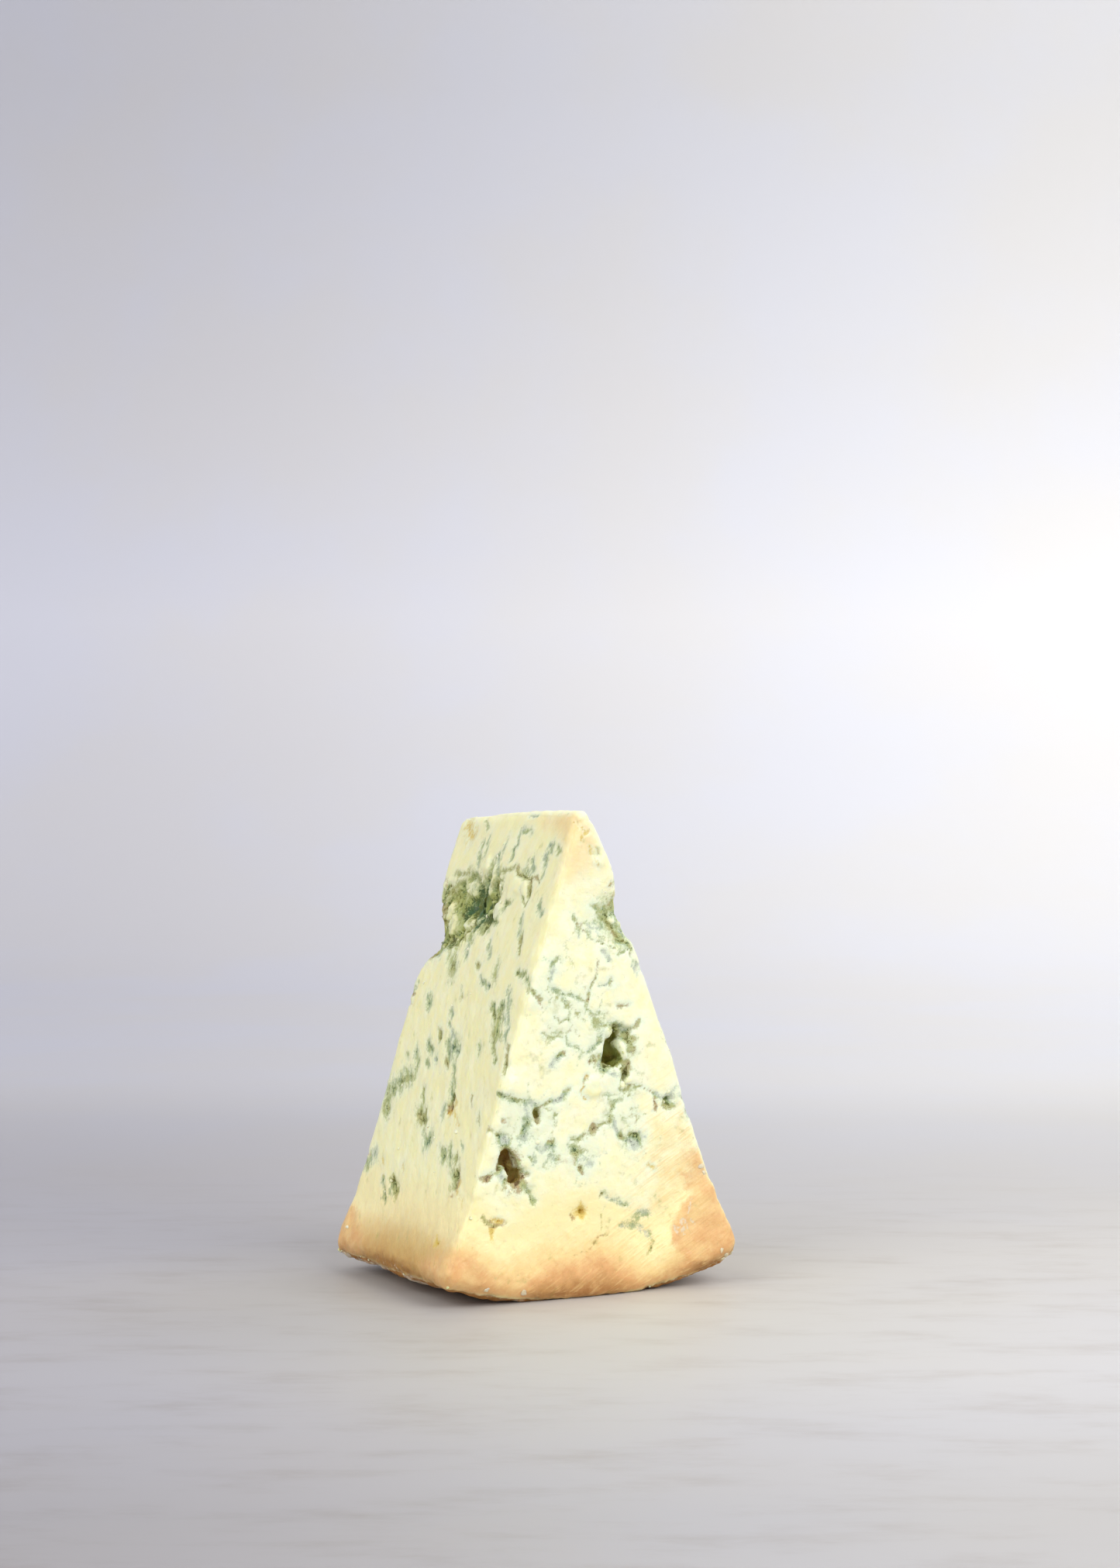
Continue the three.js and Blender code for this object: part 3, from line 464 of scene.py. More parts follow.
class StageSettings(bpy.types.PropertyGroup):
    """The floor, the lights and the camera."""

    # The floor and wall colours carry painted light: painted shade at the left and on the floor,
    # painted light at the right and up the wall.
    floor_left_painted_shade: tint("Floor left", "Colour of the floor at the left", 182, 180, 185)
    floor_right_painted_light: tint("Floor right", "Colour of the floor at the right", 216, 214, 212)
    wall_left_painted_shade: tint("Wall left", "Colour of the wall at the left", 214, 214, 222)
    wall_right_painted_light: tint("Wall right", "Colour of the wall at the right", 248, 248, 249)
    key_power: bpy.props.FloatProperty(
        name="Key", description="Power of the large soft light at the right, in watts", default=8.8
    )
    fill_power: bpy.props.FloatProperty(
        name="Fill", description="Power of the soft light at the left, in watts", default=7.8
    )
    back_power: bpy.props.FloatProperty(
        name="Back", description="Power of the soft light on the wall's right, in watts", default=4
    )
    sky: bpy.props.FloatProperty(
        name="Sky", description="Strength of the even light from all round", default=0.7
    )
    lens: bpy.props.FloatProperty(
        name="Lens", description="Focal length of the camera", default=62.3, unit="CAMERA"
    )


# --- Noise, in numpy ---

LATTICE_SIZE = 4096  # a power of two
LATTICE_PRIMES = np.array([73856093, 19349663, 83492791])
NOISE_GAIN = 1.6


def ramp(start, end, value):
    """From 0 at start to 1 at end, eased, whichever is larger."""
    part = np.clip((value - start) / (end - start), 0, 1)
    return part * part * (3 - 2 * part)


def bell(value, middle, width):
    """1 at the middle, and fading out over about the width to both sides."""
    return np.exp(-(((value - middle) / width) ** 2))


def lattice(cells, seed):
    """Three repeatable numbers from -1 to 1 for each row of whole numbers."""
    table = np.random.default_rng(seed).uniform(-1, 1, (LATTICE_SIZE, 3))
    mixed = cells @ LATTICE_PRIMES
    return table[(mixed ^ (mixed >> 13)) % LATTICE_SIZE]


def noise(points, size, seed):
    """Smooth noise from about -1 to 1, with swellings about as long as size."""
    scaled = points / size
    cell = np.floor(scaled).astype(np.int64)
    part = scaled - cell
    fade = part**3 * (part * (part * 6 - 15) + 10)
    total = np.zeros(len(points))
    for corner in itertools.product((0, 1), repeat=3):
        weight = np.prod(np.where(corner, fade, 1 - fade), axis=1)
        slope = lattice(cell + corner, seed)
        total += weight * np.einsum("ij,ij->i", slope, part - corner)
    return NOISE_GAIN * total


def rough_noise(points, size, seed, octaves=3):
    """Noise with finer noise on it, each layer half as strong."""
    layers = [noise(points, size / 2**n, seed + n) / 2**n for n in range(octaves)]
    return sum(layers)


def lumps(points, size, seed):
    """For packed lumps of the given size: how near each point is to the crack between its
    lump and the next, from 0 in the crack to about 1, and a number for the lump."""
    scaled = points / size
    cell = np.floor(scaled).astype(np.int64)
    first = np.full(len(points), 9.0)
    second = np.full(len(points), 9.0)
    name = np.zeros(len(points))
    for step in itertools.product((-1, 0, 1), repeat=3):
        jitter = lattice(cell + step, seed)
        away = np.linalg.norm(cell + step + 0.5 + 0.45 * jitter - scaled, axis=1)
        nearest = away < first
        second = np.where(nearest, first, np.minimum(second, away))
        name = np.where(nearest, jitter[:, 0], name)
        first = np.where(nearest, away, first)
    return second - first, name


# --- The wedge's surface: its fine mesh, and where each point of it lies on the cheese ---


class FineMesh:
    """A mesh as arrays, in millimetres."""

    def __init__(self, mesh):
        self.mesh = mesh
        count = len(mesh.vertices)
        flat = np.empty(count * 3, np.float32)
        mesh.vertices.foreach_get("co", flat)
        self.points = flat.reshape(-1, 3).astype(float) / MM
        pairs = np.empty(len(mesh.edges) * 2, np.int32)
        mesh.edges.foreach_get("vertices", pairs)
        self.pairs = pairs.reshape(-1, 2)
        self.degree = np.bincount(self.pairs.ravel(), minlength=count).astype(float)

    def relaxed(self, values, passes):
        """values, each moved halfway to the mean of its neighbours', passes times."""
        if values.ndim == 2:
            return np.stack([self.relaxed(column, passes) for column in values.T], axis=1)
        near, far = self.pairs.T
        for _ in range(passes):
            total = np.bincount(near, values[far], len(values))
            total += np.bincount(far, values[near], len(values))
            values = values + 0.5 * (total / self.degree - values)
        return values

    def normals(self):
        """The outward direction at each point."""
        self.write()
        flat = np.empty(len(self.mesh.vertices) * 3, np.float32)
        self.mesh.vertices.foreach_get("normal", flat)
        return flat.reshape(-1, 3).astype(float)

    def write(self):
        """Puts the points back into Blender's mesh."""
        self.mesh.vertices.foreach_set("co", (self.points * MM).astype(np.float32).ravel())
        self.mesh.update()

    def keep(self, name, values):
        """Stores one number or one vector a point, for the materials to read."""
        kind, part = ("FLOAT", "value") if values.ndim == 1 else ("FLOAT_VECTOR", "vector")
        layer = self.mesh.attributes.new(name, kind, "POINT")
        layer.data.foreach_set(part, values.astype(np.float32).ravel())


def finely_meshed(node, step):
    """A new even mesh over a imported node's form."""
    welded = bmesh.new()
    welded.from_mesh(node.data)
    bmesh.ops.remove_doubles(welded, verts=welded.verts, dist=1e-7)
    coarse = bpy.data.meshes.new("coarse")
    welded.to_mesh(coarse)
    welded.free()
    carrier = bpy.data.objects.new("carrier", coarse)
    bpy.context.scene.collection.objects.link(carrier)
    remesh = carrier.modifiers.new("Remesh", "REMESH")
    remesh.mode = "VOXEL"
    remesh.voxel_size = step
    graph = bpy.context.evaluated_depsgraph_get()
    fine = bpy.data.meshes.new_from_object(carrier.evaluated_get(graph))
    bpy.data.objects.remove(carrier)
    bpy.data.meshes.remove(coarse)
    return fine


class Places:
    """Where points lie on the cheese: how far inside each face, and their places on the
    maps of the faces, in millimetres."""

    def __init__(self, points, sizes):
        radius = sizes.wheel_radius / MM
        thick = sizes.thickness / MM
        axis_height = radius - sizes.rest_depth / MM
        self.across = points[:, 0] - sizes.axis_across / MM
        self.behind = points[:, 1] + thick / 2
        self.height = points[:, 2] - MAP_LIFT
        drop = axis_height - points[:, 2]
        self.reach = np.hypot(self.across, drop)
        self.angle = np.arctan2(self.across, drop)
        self.inside = {
            "front": self.behind,
            "back": thick - self.behind,
            "left": self.reach * np.sin(self.angle + sizes.left_angle),
            "right": self.reach * np.sin(sizes.right_angle - self.angle),
            "rind": radius - self.reach,
            "tip": drop - sizes.tip_reach / MM,
        }
        nearest = np.min(list(self.inside.values()), axis=0)
        closeness = {
            name: np.exp((nearest - depth) / FACE_BLEND) for name, depth in self.inside.items()
        }
        total = sum(closeness.values())
        self.share = {name: c / total for name, c in closeness.items()}
        self.sunk = nearest
        self.from_front_left = np.hypot(self.inside["front"], self.inside["left"])

    def on_map(self, face):
        """A face's two map coordinates."""
        if face in ("front", "back"):
            return self.across, self.height
        slant = SLANT if face == "left" else 0
        ahead = slant * np.clip(self.inside["left"], 0, CREVICE_DEPTH)
        return self.behind - ahead, self.reach + MAP_REACH


def stroke_bend(reach, sizes):
    """How far back the knife's strokes have drifted where they pass a reach."""
    middle, length = STROKE_BEND
    return length * math.tan(sizes.stroke_lean) * np.log(np.cosh((reach - middle) / length))


def woven(points, places, sizes):
    """The points as patterns see them: on the left cut, drawn out along the strokes."""
    behind, reach = places.on_map("left")
    strokes = [behind + stroke_bend(reach, sizes), reach / STROKE_PULL, places.inside["left"]]
    on_left = places.share["left"] > 0.5
    return np.where(on_left[:, None], CUT_FINENESS * np.stack(strokes, axis=1), points)


# --- What grows where: fields over the surface, one number a point ---


def from_line(u, v, line):
    """How far each place lies from a broken line."""
    best = np.full(len(u), np.inf)
    for (u0, v0), (u1, v1) in zip(line, line[1:]):
        du, dv = u1 - u0, v1 - v0
        along = np.clip(((u - u0) * du + (v - v0) * dv) / (du * du + dv * dv), 0, 1)
        best = np.minimum(best, np.hypot(u - u0 - along * du, v - v0 - along * dv))
    return best


def in_patches(u, v, patches):
    """1 in the middle of the nearest patch, 0 at its edge and below 0 outside."""
    depths = []
    for (middle_u, middle_v), (half_u, half_v), degrees in patches:
        cos, sin = math.cos(math.radians(degrees)), math.sin(math.radians(degrees))
        du, dv = u - middle_u, v - middle_v
        part_u, part_v = (du * cos + dv * sin) / half_u, (dv * cos - du * sin) / half_v
        depths.append(1 - np.hypot(part_u, part_v))
    return np.max(depths, axis=0)


# Veins like the drawn ones on the faces that look away: the seed of their random draws, how
# many there are, and the least and the greatest reach at which they start.
BACK_VEINS = (5, 40, 18, 90)
RIGHT_VEINS = (8, 50, 14, 92)
HALF_WIDTH = 0.33  # how far across they start at most, as a part of their reach
CURD_SIZE, FINE_CURD_SIZE = 5.4, 1.9


def wandering_veins(place, seed, count, nearest, furthest):
    """Veins for a face that looks away. place turns a part of the way across and a reach
    into the face's map coordinates."""
    draw = np.random.default_rng(seed)
    grown = []
    for _ in range(count):
        reach = math.sqrt(draw.uniform(nearest**2, furthest**2))
        spot = np.array(place(draw.uniform(0.06, 0.94), reach))
        heading = draw.uniform(0, 2 * math.pi)
        width = draw.uniform(0.35, 1.0)
        tone = draw.choice([BLUE, BLUE, TEAL, GREEN, OLIVE, BROWN, OCHRE])
        for _ in range(draw.integers(1, 4)):
            line = [tuple(spot)]
            for _ in range(draw.integers(1, 4)):
                heading += draw.normal(0, 0.4)
                step = draw.uniform(1.2, 3.4)
                spot = spot + step * np.array([math.cos(heading), math.sin(heading)])
                line.append(tuple(spot))
            grown.append(Vein(width * draw.uniform(0.6, 1.1), tone, draw.uniform(0.5, 1.0), line))
    return grown


# How veins are drawn on a face: how far they stray to the side and along, in millimetres,
# how much they are drawn out along, how much wider and stronger they get, and how sharply
# they end, where 1 thins out evenly and more ends at the vein's width.
Hand = namedtuple("Hand", "stray_side stray_along draw_out widen strengthen edge")
CRISP = Hand(0.75, 0.75, 1, 1.35, 0.08, 1.2)
SMEARED = Hand(0.45, 0.6, 1.3, 1.5, 0.2, 1)


def smeared_tone(tone):
    """A vein's tone where the knife has spread it: nearer to green, unless it is a stain."""
    return tone if tone > 0.88 else 0.14 + 0.55 * tone


class Growth:
    """The veins and the mould over the whole surface."""

    def __init__(self, places, points):
        count = len(points)
        self.places = places
        self.points = points
        self.vein = np.full(count, -3.0)  # above 0 in a vein
        self.halo = np.zeros(count)  # 1 beside a vein, fading out
        self.tone_sum = np.full(count, 1e-6)
        self.tone_total = np.full(count, 1e-6 * GREEN)
        self.sway = np.stack([rough_noise(points, 3, seed) for seed in (11, 23, 37)], axis=1)
        self.waver = 0.45 * rough_noise(points, 1.9, 29, 2)

    def add(self, here, away, width, tone, strength, edge=CRISP.edge):
        """Grows mould by how far each place lies from a line's middle."""
        field = strength * (1 + self.waver[here]) - (away / width) ** edge
        self.vein[here] = np.maximum(self.vein[here], field)
        beside = np.minimum(strength, 1.1) * np.exp(-away / (0.7 + 1.2 * width))
        self.halo[here] = np.maximum(self.halo[here], beside)
        weight = np.exp(-3 * away / width) + 1e-9 * np.exp(-away)
        self.tone_sum[here] += weight
        self.tone_total[here] += weight * tone

    def add_veins(self, face, drawn, hand=CRISP, bend=lambda along: 0):
        """Draws veins on a face. The bend is how far the face is sheared at each place
        along it."""
        here = np.flatnonzero(self.places.share[face] > 0.02)
        side, along = (axis[here] for axis in self.places.on_map(face))
        side = side + bend(along) + hand.stray_side * self.sway[here, 0]
        along = (along + hand.stray_along * self.sway[here, 1]) / hand.draw_out
        for width, tone, strength, line in drawn:
            line = [(u + bend(v), v / hand.draw_out) for u, v in line]
            away = from_line(side, along, line)
            self.add(here, away, hand.widen * width, tone, strength + hand.strengthen, hand.edge)

    def add_curds(self, presence, size):
        """Draws faint mould along the seams between curds of a size, in millimetres, where
        the presence is above 0."""
        here = np.flatnonzero(presence > 0.05)
        points = self.points[here] + 0.9 * self.sway[here]
        gap, _ = lumps(points, size, 43)
        seam = presence[here] * (0.5 + 0.55 * noise(points, 3.7, 44))
        tone = np.clip(0.35 + 0.6 * noise(points, 5, 45), BLUE, BROWN)
        self.add(here, 0.5 * size * gap, 0.42, tone, seam)

    def tone(self):
        """The mould's colour, from BLUE to OCHRE."""
        return self.tone_total / self.tone_sum + 0.12 * noise(self.points, 4.5, 46)


def face_patches(places, face, patches, spread, soft):
    """How much of the patches covers each point, from 0 to 1, with an edge that sways."""
    u, v = places.on_map(face)
    depth = in_patches(u, v, patches) + spread
    return ramp(-soft, soft, depth) * places.share[face]


def patches_by_face(places, patches, spread, soft):
    """How much of each face's patches covers each point, by the face's name."""
    return {
        face: face_patches(places, face, listed, spread, soft) for face, listed in patches.items()
    }


def dried_zones(places, points, sway, fine_sway):
    """The paste that has dried and browned towards the rind and the edges."""
    share = places.share
    from_rind = places.inside["rind"]
    cut = 1 - share["rind"]
    less = sum(amount * bell(places.across, *where) for amount, *where in FRONT_LESS)
    depth = from_rind + 0.5 * sway + less * share["front"] + LEFT_LESS * share["left"]
    margin = cut * np.clip(1 - depth / MARGIN_DEPTH, 0, 1)
    corners = sum(patches_by_face(places, CORNERS, 0.1 * sway, 0.6).values())
    crust = CRUST_DEPTH + LEFT_CRUST * share["left"]
    crust = cut * ramp(1, 0.1, (from_rind + 0.35 * sway) / crust) * (1 - 0.6 * corners)
    smear = face_patches(places, "front", SMEAR, 0.07 * fine_sway + 0.05 * sway, 0.14)
    smear_top = face_patches(places, "front", SMEAR_TOP, 0.08 * fine_sway + 0.05 * sway, 0.6)
    smear = np.maximum(smear, 0.8 * smear_top) * ramp(0.5, 4, from_rind)
    fibre = face_patches(places, "front", DRYING, 0.35, 0.5)
    brim = 4 * share["rind"] * cut * ramp(-0.3, 0.4, noise(points, 9, 66))
    # Warm, drier paste along the edge between the two shown cuts, at the tip and beside
    # the right cut.
    front_left = bell(places.from_front_left, 0, 4.5) * ramp(52, 8, places.reach)
    tip = face_patches(places, "left", TIP["left"], 0.05 * sway, 0.8)
    tip += 0.6 * face_patches(places, "front", TIP["front"], 0.05 * sway, 0.8)
    front_right = bell(places.inside["right"], 0, 3.5) * share["front"]
    front_right *= ramp(-0.2, 0.8, noise(points, 5, 36))
    return {
        "margin": margin,
        "crust": crust,
        "smear": np.maximum(smear, corners),
        "khaki": face_patches(places, "left", KHAKI, 0.04 * sway, 0.75),
        "brim": brim,
        "drying": face_patches(places, "front", DRYING, 0.08 * sway, 0.7),
        "fibre": np.maximum(fibre, 0.5 * share["front"] * ramp(0.3, 0.8, margin)),
        "warmth": np.clip(0.5 * front_left + tip + 0.6 * front_right, 0, 1),
    }


def mould_zones(places, points, sway, fine_sway):
    """The paste that mould has eaten into or paled, and what lies on it."""
    share = places.share
    mould = patches_by_face(places, MOULD, 0.14 * sway + 0.05 * fine_sway, 0.4)
    left_mould = mould.pop("left") * (0.45 + 0.55 * ramp(16.5, 25.5, places.reach))
    bloom = patches_by_face(places, BLOOM, 0.2 * fine_sway, 0.3)
    far = ramp(-0.1, 0.5, noise(points, 16, 35)) * (share["back"] + share["right"])
    mint = face_patches(places, "front", MINT, 0.15 * sway, 0.6) + far
    scratch = [from_line(places.across, places.height, line) for line in SCRATCHES]
    scratch = np.clip(1 - np.min(scratch, axis=0) / SCRATCH_WIDTH, 0, 1)
    return {
        "left_mould": left_mould,
        "fine_mould": np.clip(sum(mould.values()), 0, 1),
        "bloom": np.clip(sum(bloom.values()), 0, 1),
        "mint": np.clip(mint, 0, 1),
        "scratch": share["front"] * scratch,
    }


def zones_of(places, points):
    """The parts of the surface that differ in colour or grain, each from 0 to 1."""
    sway = 1.9 * noise(points, 8, 31) + 0.8 * noise(points, 2.6, 32)
    fine_sway = 0.8 * noise(points, 2.2, 33) + 0.5 * noise(points, 1.1, 34)
    zones = {"rind": places.share["rind"], "side": places.share["left"]}
    zones |= dried_zones(places, points, sway, fine_sway)
    return zones | mould_zones(places, points, sway, fine_sway)


def grow(places, points, zones, sizes):
    """Draws all the veins, and the mould between the curds."""
    growth = Growth(places, points)
    thick = sizes.thickness / MM
    growth.add_veins("front", FRONT_VEINS)
    smeared = [vein._replace(tone=smeared_tone(vein.tone)) for vein in LEFT_VEINS]
    growth.add_veins("left", smeared, SMEARED, lambda reach: stroke_bend(reach, sizes))

    def across_back(part, reach):
        return (2 * part - 1) * HALF_WIDTH * reach, AXIS_HEIGHT - reach

    def along_right(part, reach):
        return part * thick, reach

    growth.add_veins("back", wandering_veins(across_back, *BACK_VEINS))
    growth.add_veins("right", wandering_veins(along_right, *RIGHT_VEINS))
    growth.add_curds(zones["mint"] * (1 - places.share["rind"]), CURD_SIZE)
    growth.add_curds(1.25 * zones["fine_mould"], FINE_CURD_SIZE)
    return growth


# Rounds of smoothing: over the remeshed form, and until the holes are filled.
FORM_ROUNDS, HOLE_ROUNDS = 5, 150
# How far the finer relief goes in or out, in millimetres.
DEEP_VEIN = 0.6
PIT = 1.1
CRUST_BUMPS = 0.3
EDGE_WAVER = 0.45
LUMP_STEPS = 0.18
LEFT_MOULD, FINE_MOULD = 0.35, 0.25
CRUMBLE = 0.16
SMEAR_RISE = 0.22
LUMP_SIZE = 3.6


def relief(points, places, growth, zones, crack, lump, sizes):
    """How far the surface stands out at each point, in millimetres, besides the holes."""
    cut = 1 - zones["rind"]
    mould = zones["left_mould"]
    smeared = woven(points, places, sizes)
    out = sizes.grain / MM * (noise(smeared, 1.5, 51) + 2.2 * noise(smeared, 4.5, 52)) * cut
    out -= sizes.groove / MM * ramp(-0.1, 0.9, growth.vein) * (1 + 1.6 * mould)
    out -= DEEP_VEIN * ramp(1.1, 1.7, growth.vein)
    out += CRUST_BUMPS * zones["crust"] * noise(points, 1.3, 60)
    out += EDGE_WAVER * bell(places.from_front_left, 0, 3) * rough_noise(points, 6, 67)
    out -= sizes.fissure / MM * crack * (0.7 + 0.6 * noise(points, 5, 53))
    out += LUMP_STEPS * lump * mould
    out -= LEFT_MOULD * mould
    out -= FINE_MOULD * zones["fine_mould"] * ramp(-0.3, 0.6, noise(points, 1.3, 54))
    out += sizes.lump / MM * zones["bloom"]
    crumbly = ramp(0.2, 0.9, growth.halo) * cut * (1 - 0.7 * zones["side"])
    out -= CRUMBLE * crumbly * ramp(0.1, 0.7, noise(points, 1.2, 55))
    out += SMEAR_RISE * zones["smear"] * (1 + 0.5 * noise(points, 2, 59))
    return out + sizes.wrinkle / MM * zones["rind"] * rough_noise(points, 3.5, 57)


def carved(points, normals, places, growth, zones, fine, sizes):
    """The points with the fine relief worked in, and how deep each lies in a hole."""
    hole = places.sunk - fine.relaxed(places.sunk, HOLE_ROUNDS)
    cavity = ramp(0.4, 1.1, hole + 0.25 * noise(points, 1.4, 58))
    pits = face_patches(places, "front", PITS, 0.2 * noise(points, 1.6, 64), 0.35)
    smeared = woven(points, places, sizes)
    gap, lump = lumps(smeared + 0.6 * growth.sway, LUMP_SIZE, 41)
    crack = ramp(0.24, 0.02, gap) * zones["left_mould"] * (1 - 0.6 * zones["bloom"])
    out = relief(points, places, growth, zones, crack, lump, sizes)
    out -= PIT * pits + cavity * (0.3 + 0.9 * noise(points, 1.7, 56))
    # Mould in the cracks between the lumps: partly the mould that grows there, partly painted
    # shade that darkens the cracks.
    growth.vein = np.maximum(growth.vein, 2.4 * crack - 0.6) - 0.6 * zones["bloom"]
    growth.halo = np.clip(growth.halo + 1.4 * fine.relaxed(cavity, 20), 0, 1.3)
    jag = np.stack([noise(points, 1.5, seed) for seed in (61, 62, 63)], axis=1)
    rims = 0.55 + 0.5 * (places.share["back"] + places.share["right"])
    ragged = 0.04 + rims * np.clip(fine.relaxed(cavity, 6) * 2, 0, 1)
    moved = points + normals * out[:, None] + jag * ragged[:, None]
    moved[:, 2] = np.maximum(moved[:, 2], 0)
    return moved, np.maximum(cavity, pits)


def dressed_wedge(sizes):
    """The wedge's fine mesh, carved, with its fields stored for the material."""
    mesh = finely_meshed(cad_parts[NODE], sizes.mesh_step)
    fine = FineMesh(mesh)
    fine.points = fine.relaxed(fine.points, FORM_ROUNDS)
    places = Places(fine.points, sizes)
    zones = zones_of(places, fine.points)
    growth = grow(places, fine.points, zones, sizes)
    weave = woven(fine.points, places, sizes) * MM
    normals = fine.normals()
    fine.points, cavity = carved(fine.points, normals, places, growth, zones, fine, sizes)
    fine.write()
    fields = {"vein": growth.vein, "halo": growth.halo, "tone": growth.tone()}
    fields |= {"cavity": cavity, "weave": weave}
    for name, values in (fields | zones).items():
        fine.keep(name, values)
    mesh.polygons.foreach_set("use_smooth", np.ones(len(mesh.polygons), bool))
    mesh.name = "wedge"
    return mesh


# --- Shader nodes ---


def put(tree, kind, inputs=None, **options):
    """Adds a node, with its options, and with inputs that are values or other sockets."""
    node = tree.nodes.new(kind)
    for name, value in options.items():
        setattr(node, name, value)
    for name, value in (inputs or {}).items():
        if isinstance(value, bpy.types.NodeSocket):
            tree.links.new(value, node.inputs[name])
        else:
            node.inputs[name].default_value = value
    return node


def rgba(colour):
    """A colour with full alpha, as colour sockets want it."""
    return (*colour, 1.0)


def blend(tree, share, first, second, way="MIX"):
    """The first colour turned into the second by the share."""
    inputs = {0: share, 6: first, 7: second}
    return put(tree, "ShaderNodeMix", inputs, data_type="RGBA", blend_type=way).outputs[2]


def maths(tree, operation, first, second):
    """A sum on two numbers."""
    return put(tree, "ShaderNodeMath", {0: first, 1: second}, operation=operation).outputs[0]


def vector_maths(tree, operation, first, second):
    """A sum on two vectors, and the number that some of these sums give instead."""
    return put(tree, "ShaderNodeVectorMath", {0: first, 1: second}, operation=operation).outputs


def eased(tree, value, start, end):
    """From 0 at start to 1 at end."""
    inputs = {"Value": value, "From Min": start, "From Max": end}
    options = {"interpolation_type": "SMOOTHSTEP"}
    return put(tree, "ShaderNodeMapRange", inputs, **options).outputs["Result"]


def stored(tree, name):
    """A number that the mesh keeps at each of its points."""
    return put(tree, "ShaderNodeAttribute", attribute_name=name).outputs["Fac"]


def grainy(tree, vector, scale, detail=2.0, roughness=0.5):
    """Noise from 0 to 1."""
    inputs = {"Vector": vector, "Scale": scale, "Detail": detail, "Roughness": roughness}
    return put(tree, "ShaderNodeTexNoise", inputs).outputs["Fac"]


def colour_scale(tree, value, stops):
    """The colour at a value between 0 and 1, from pairs of place and colour."""
    scale = put(tree, "ShaderNodeValToRGB", {0: value})
    elements = scale.color_ramp.elements
    while len(elements) < len(stops):
        elements.new(0.5)
    for element, (position, colour) in zip(elements, stops):
        element.position = position
        element.color = rgba(colour)
    return scale.outputs["Color"]


def new_group(name, inputs, outputs):
    """An empty node group, with its input sockets' defaults, and its input and output."""
    tree = bpy.data.node_groups.new(name, "ShaderNodeTree")
    for socket_name, (kind, default) in inputs.items():
        socket = tree.interface.new_socket(socket_name, in_out="INPUT", socket_type=kind)
        if default is not None:
            socket.default_value = default
    for socket_name, kind in outputs.items():
        tree.interface.new_socket(socket_name, in_out="OUTPUT", socket_type=kind)
    return tree, put(tree, "NodeGroupInput").outputs, put(tree, "NodeGroupOutput").inputs


def use(tree, group, inputs):
    """Places a node group, and gives its outputs."""
    return put(tree, "ShaderNodeGroup", inputs, node_tree=group).outputs


FLOAT, VECTOR, COLOUR = "NodeSocketFloat", "NodeSocketVector", "NodeSocketColor"


def ragged_edge_group():
    """A mask with a ragged edge, where a field passes from one value to another."""
    inputs = {
        "Vector": (VECTOR, None),
        "Field": (FLOAT, 0.0),
        "Scale": (FLOAT, 500.0),
        "Coarse": (FLOAT, 0.5),
        "Fine": (FLOAT, 0.3),
        "From": (FLOAT, 0.0),
        "To": (FLOAT, 1.0),
    }
    tree, given, made = new_group("Ragged edge", inputs, {"Mask": FLOAT})
    finer = maths(tree, "MULTIPLY", given["Scale"], 3.1)
    grains = {
        "Coarse": grainy(tree, given["Vector"], given["Scale"]),
        "Fine": grainy(tree, given["Vector"], finer, 3.0, 0.6),
    }
    field = given["Field"]
    for amount, grain in grains.items():
        swing = maths(tree, "MULTIPLY", maths(tree, "SUBTRACT", grain, 0.5), given[amount])
        field = maths(tree, "ADD", field, swing)
    tree.links.new(eased(tree, field, given["From"], given["To"]), made["Mask"])
    return tree


def mottle_group():
    """Two colours in soft clouds, with finer flecks."""
    inputs = {
        "Vector": (VECTOR, None),
        "Main": (COLOUR, (1, 1, 1, 1)),
        "Other": (COLOUR, (0, 0, 0, 1)),
        "Scale": (FLOAT, 100.0),
        "Amount": (FLOAT, 1.0),
        "Lean": (FLOAT, 0.0),
    }
    tree, given, made = new_group("Mottle", inputs, {"Colour": COLOUR})
    cloud = grainy(tree, given["Vector"], given["Scale"], 5.0, 0.62)
    share = maths(tree, "MULTIPLY", eased(tree, cloud, 0.3, 0.7), given["Amount"])
    share = maths(tree, "ADD", share, given["Lean"])
    share = put(tree, "ShaderNodeClamp", {"Value": share}).outputs[0]
    tree.links.new(blend(tree, share, given["Main"], given["Other"]), made["Colour"])
    return tree


def mould_colour_group(colours):
    """The mould's colours by its tone, thin and thick, in flecks."""
    inputs = {"Vector": (VECTOR, None), "Tone": (FLOAT, 0.0)}
    tree, given, made = new_group("Mould colour", inputs, {"Thin": COLOUR, "Thick": COLOUR})
    fleck = maths(tree, "SUBTRACT", grainy(tree, given["Vector"], 700.0, 3.0, 0.65), 0.5)
    tone = maths(tree, "ADD", given["Tone"], maths(tree, "MULTIPLY", fleck, 0.6))
    for output, kind in (("Thin", "soft"), ("Thick", "dark")):
        stops = [(at, getattr(colours, f"{kind}_{hue}")) for hue, at in TONES.items()]
        tree.links.new(colour_scale(tree, tone, stops), made[output])
    return tree


def crumb_height_group():
    """A crumbly surface's height: close grain, and small torn pits."""
    inputs = {"Vector": (VECTOR, None), "Scale": (FLOAT, 1500.0), "Pits": (FLOAT, 0.5)}
    tree, given, made = new_group("Crumb height", inputs, {"Height": FLOAT})
    grain = grainy(tree, given["Vector"], given["Scale"], 4.0, 0.6)
    pit = grainy(tree, given["Vector"], maths(tree, "MULTIPLY", given["Scale"], 0.4))
    pit = maths(tree, "MULTIPLY", eased(tree, pit, 0.62, 0.5), given["Pits"])
    tree.links.new(maths(tree, "ADD", grain, pit), made["Height"])
    return tree


def effect_groups(colours):
    """The node groups that the materials share."""
    makers = {
        "Ragged edge": ragged_edge_group,
        "Mottle": mottle_group,
        "Mould colour": lambda: mould_colour_group(colours),
        "Crumb height": crumb_height_group,
    }
    return {name: bpy.data.node_groups.get(name) or make() for name, make in makers.items()}


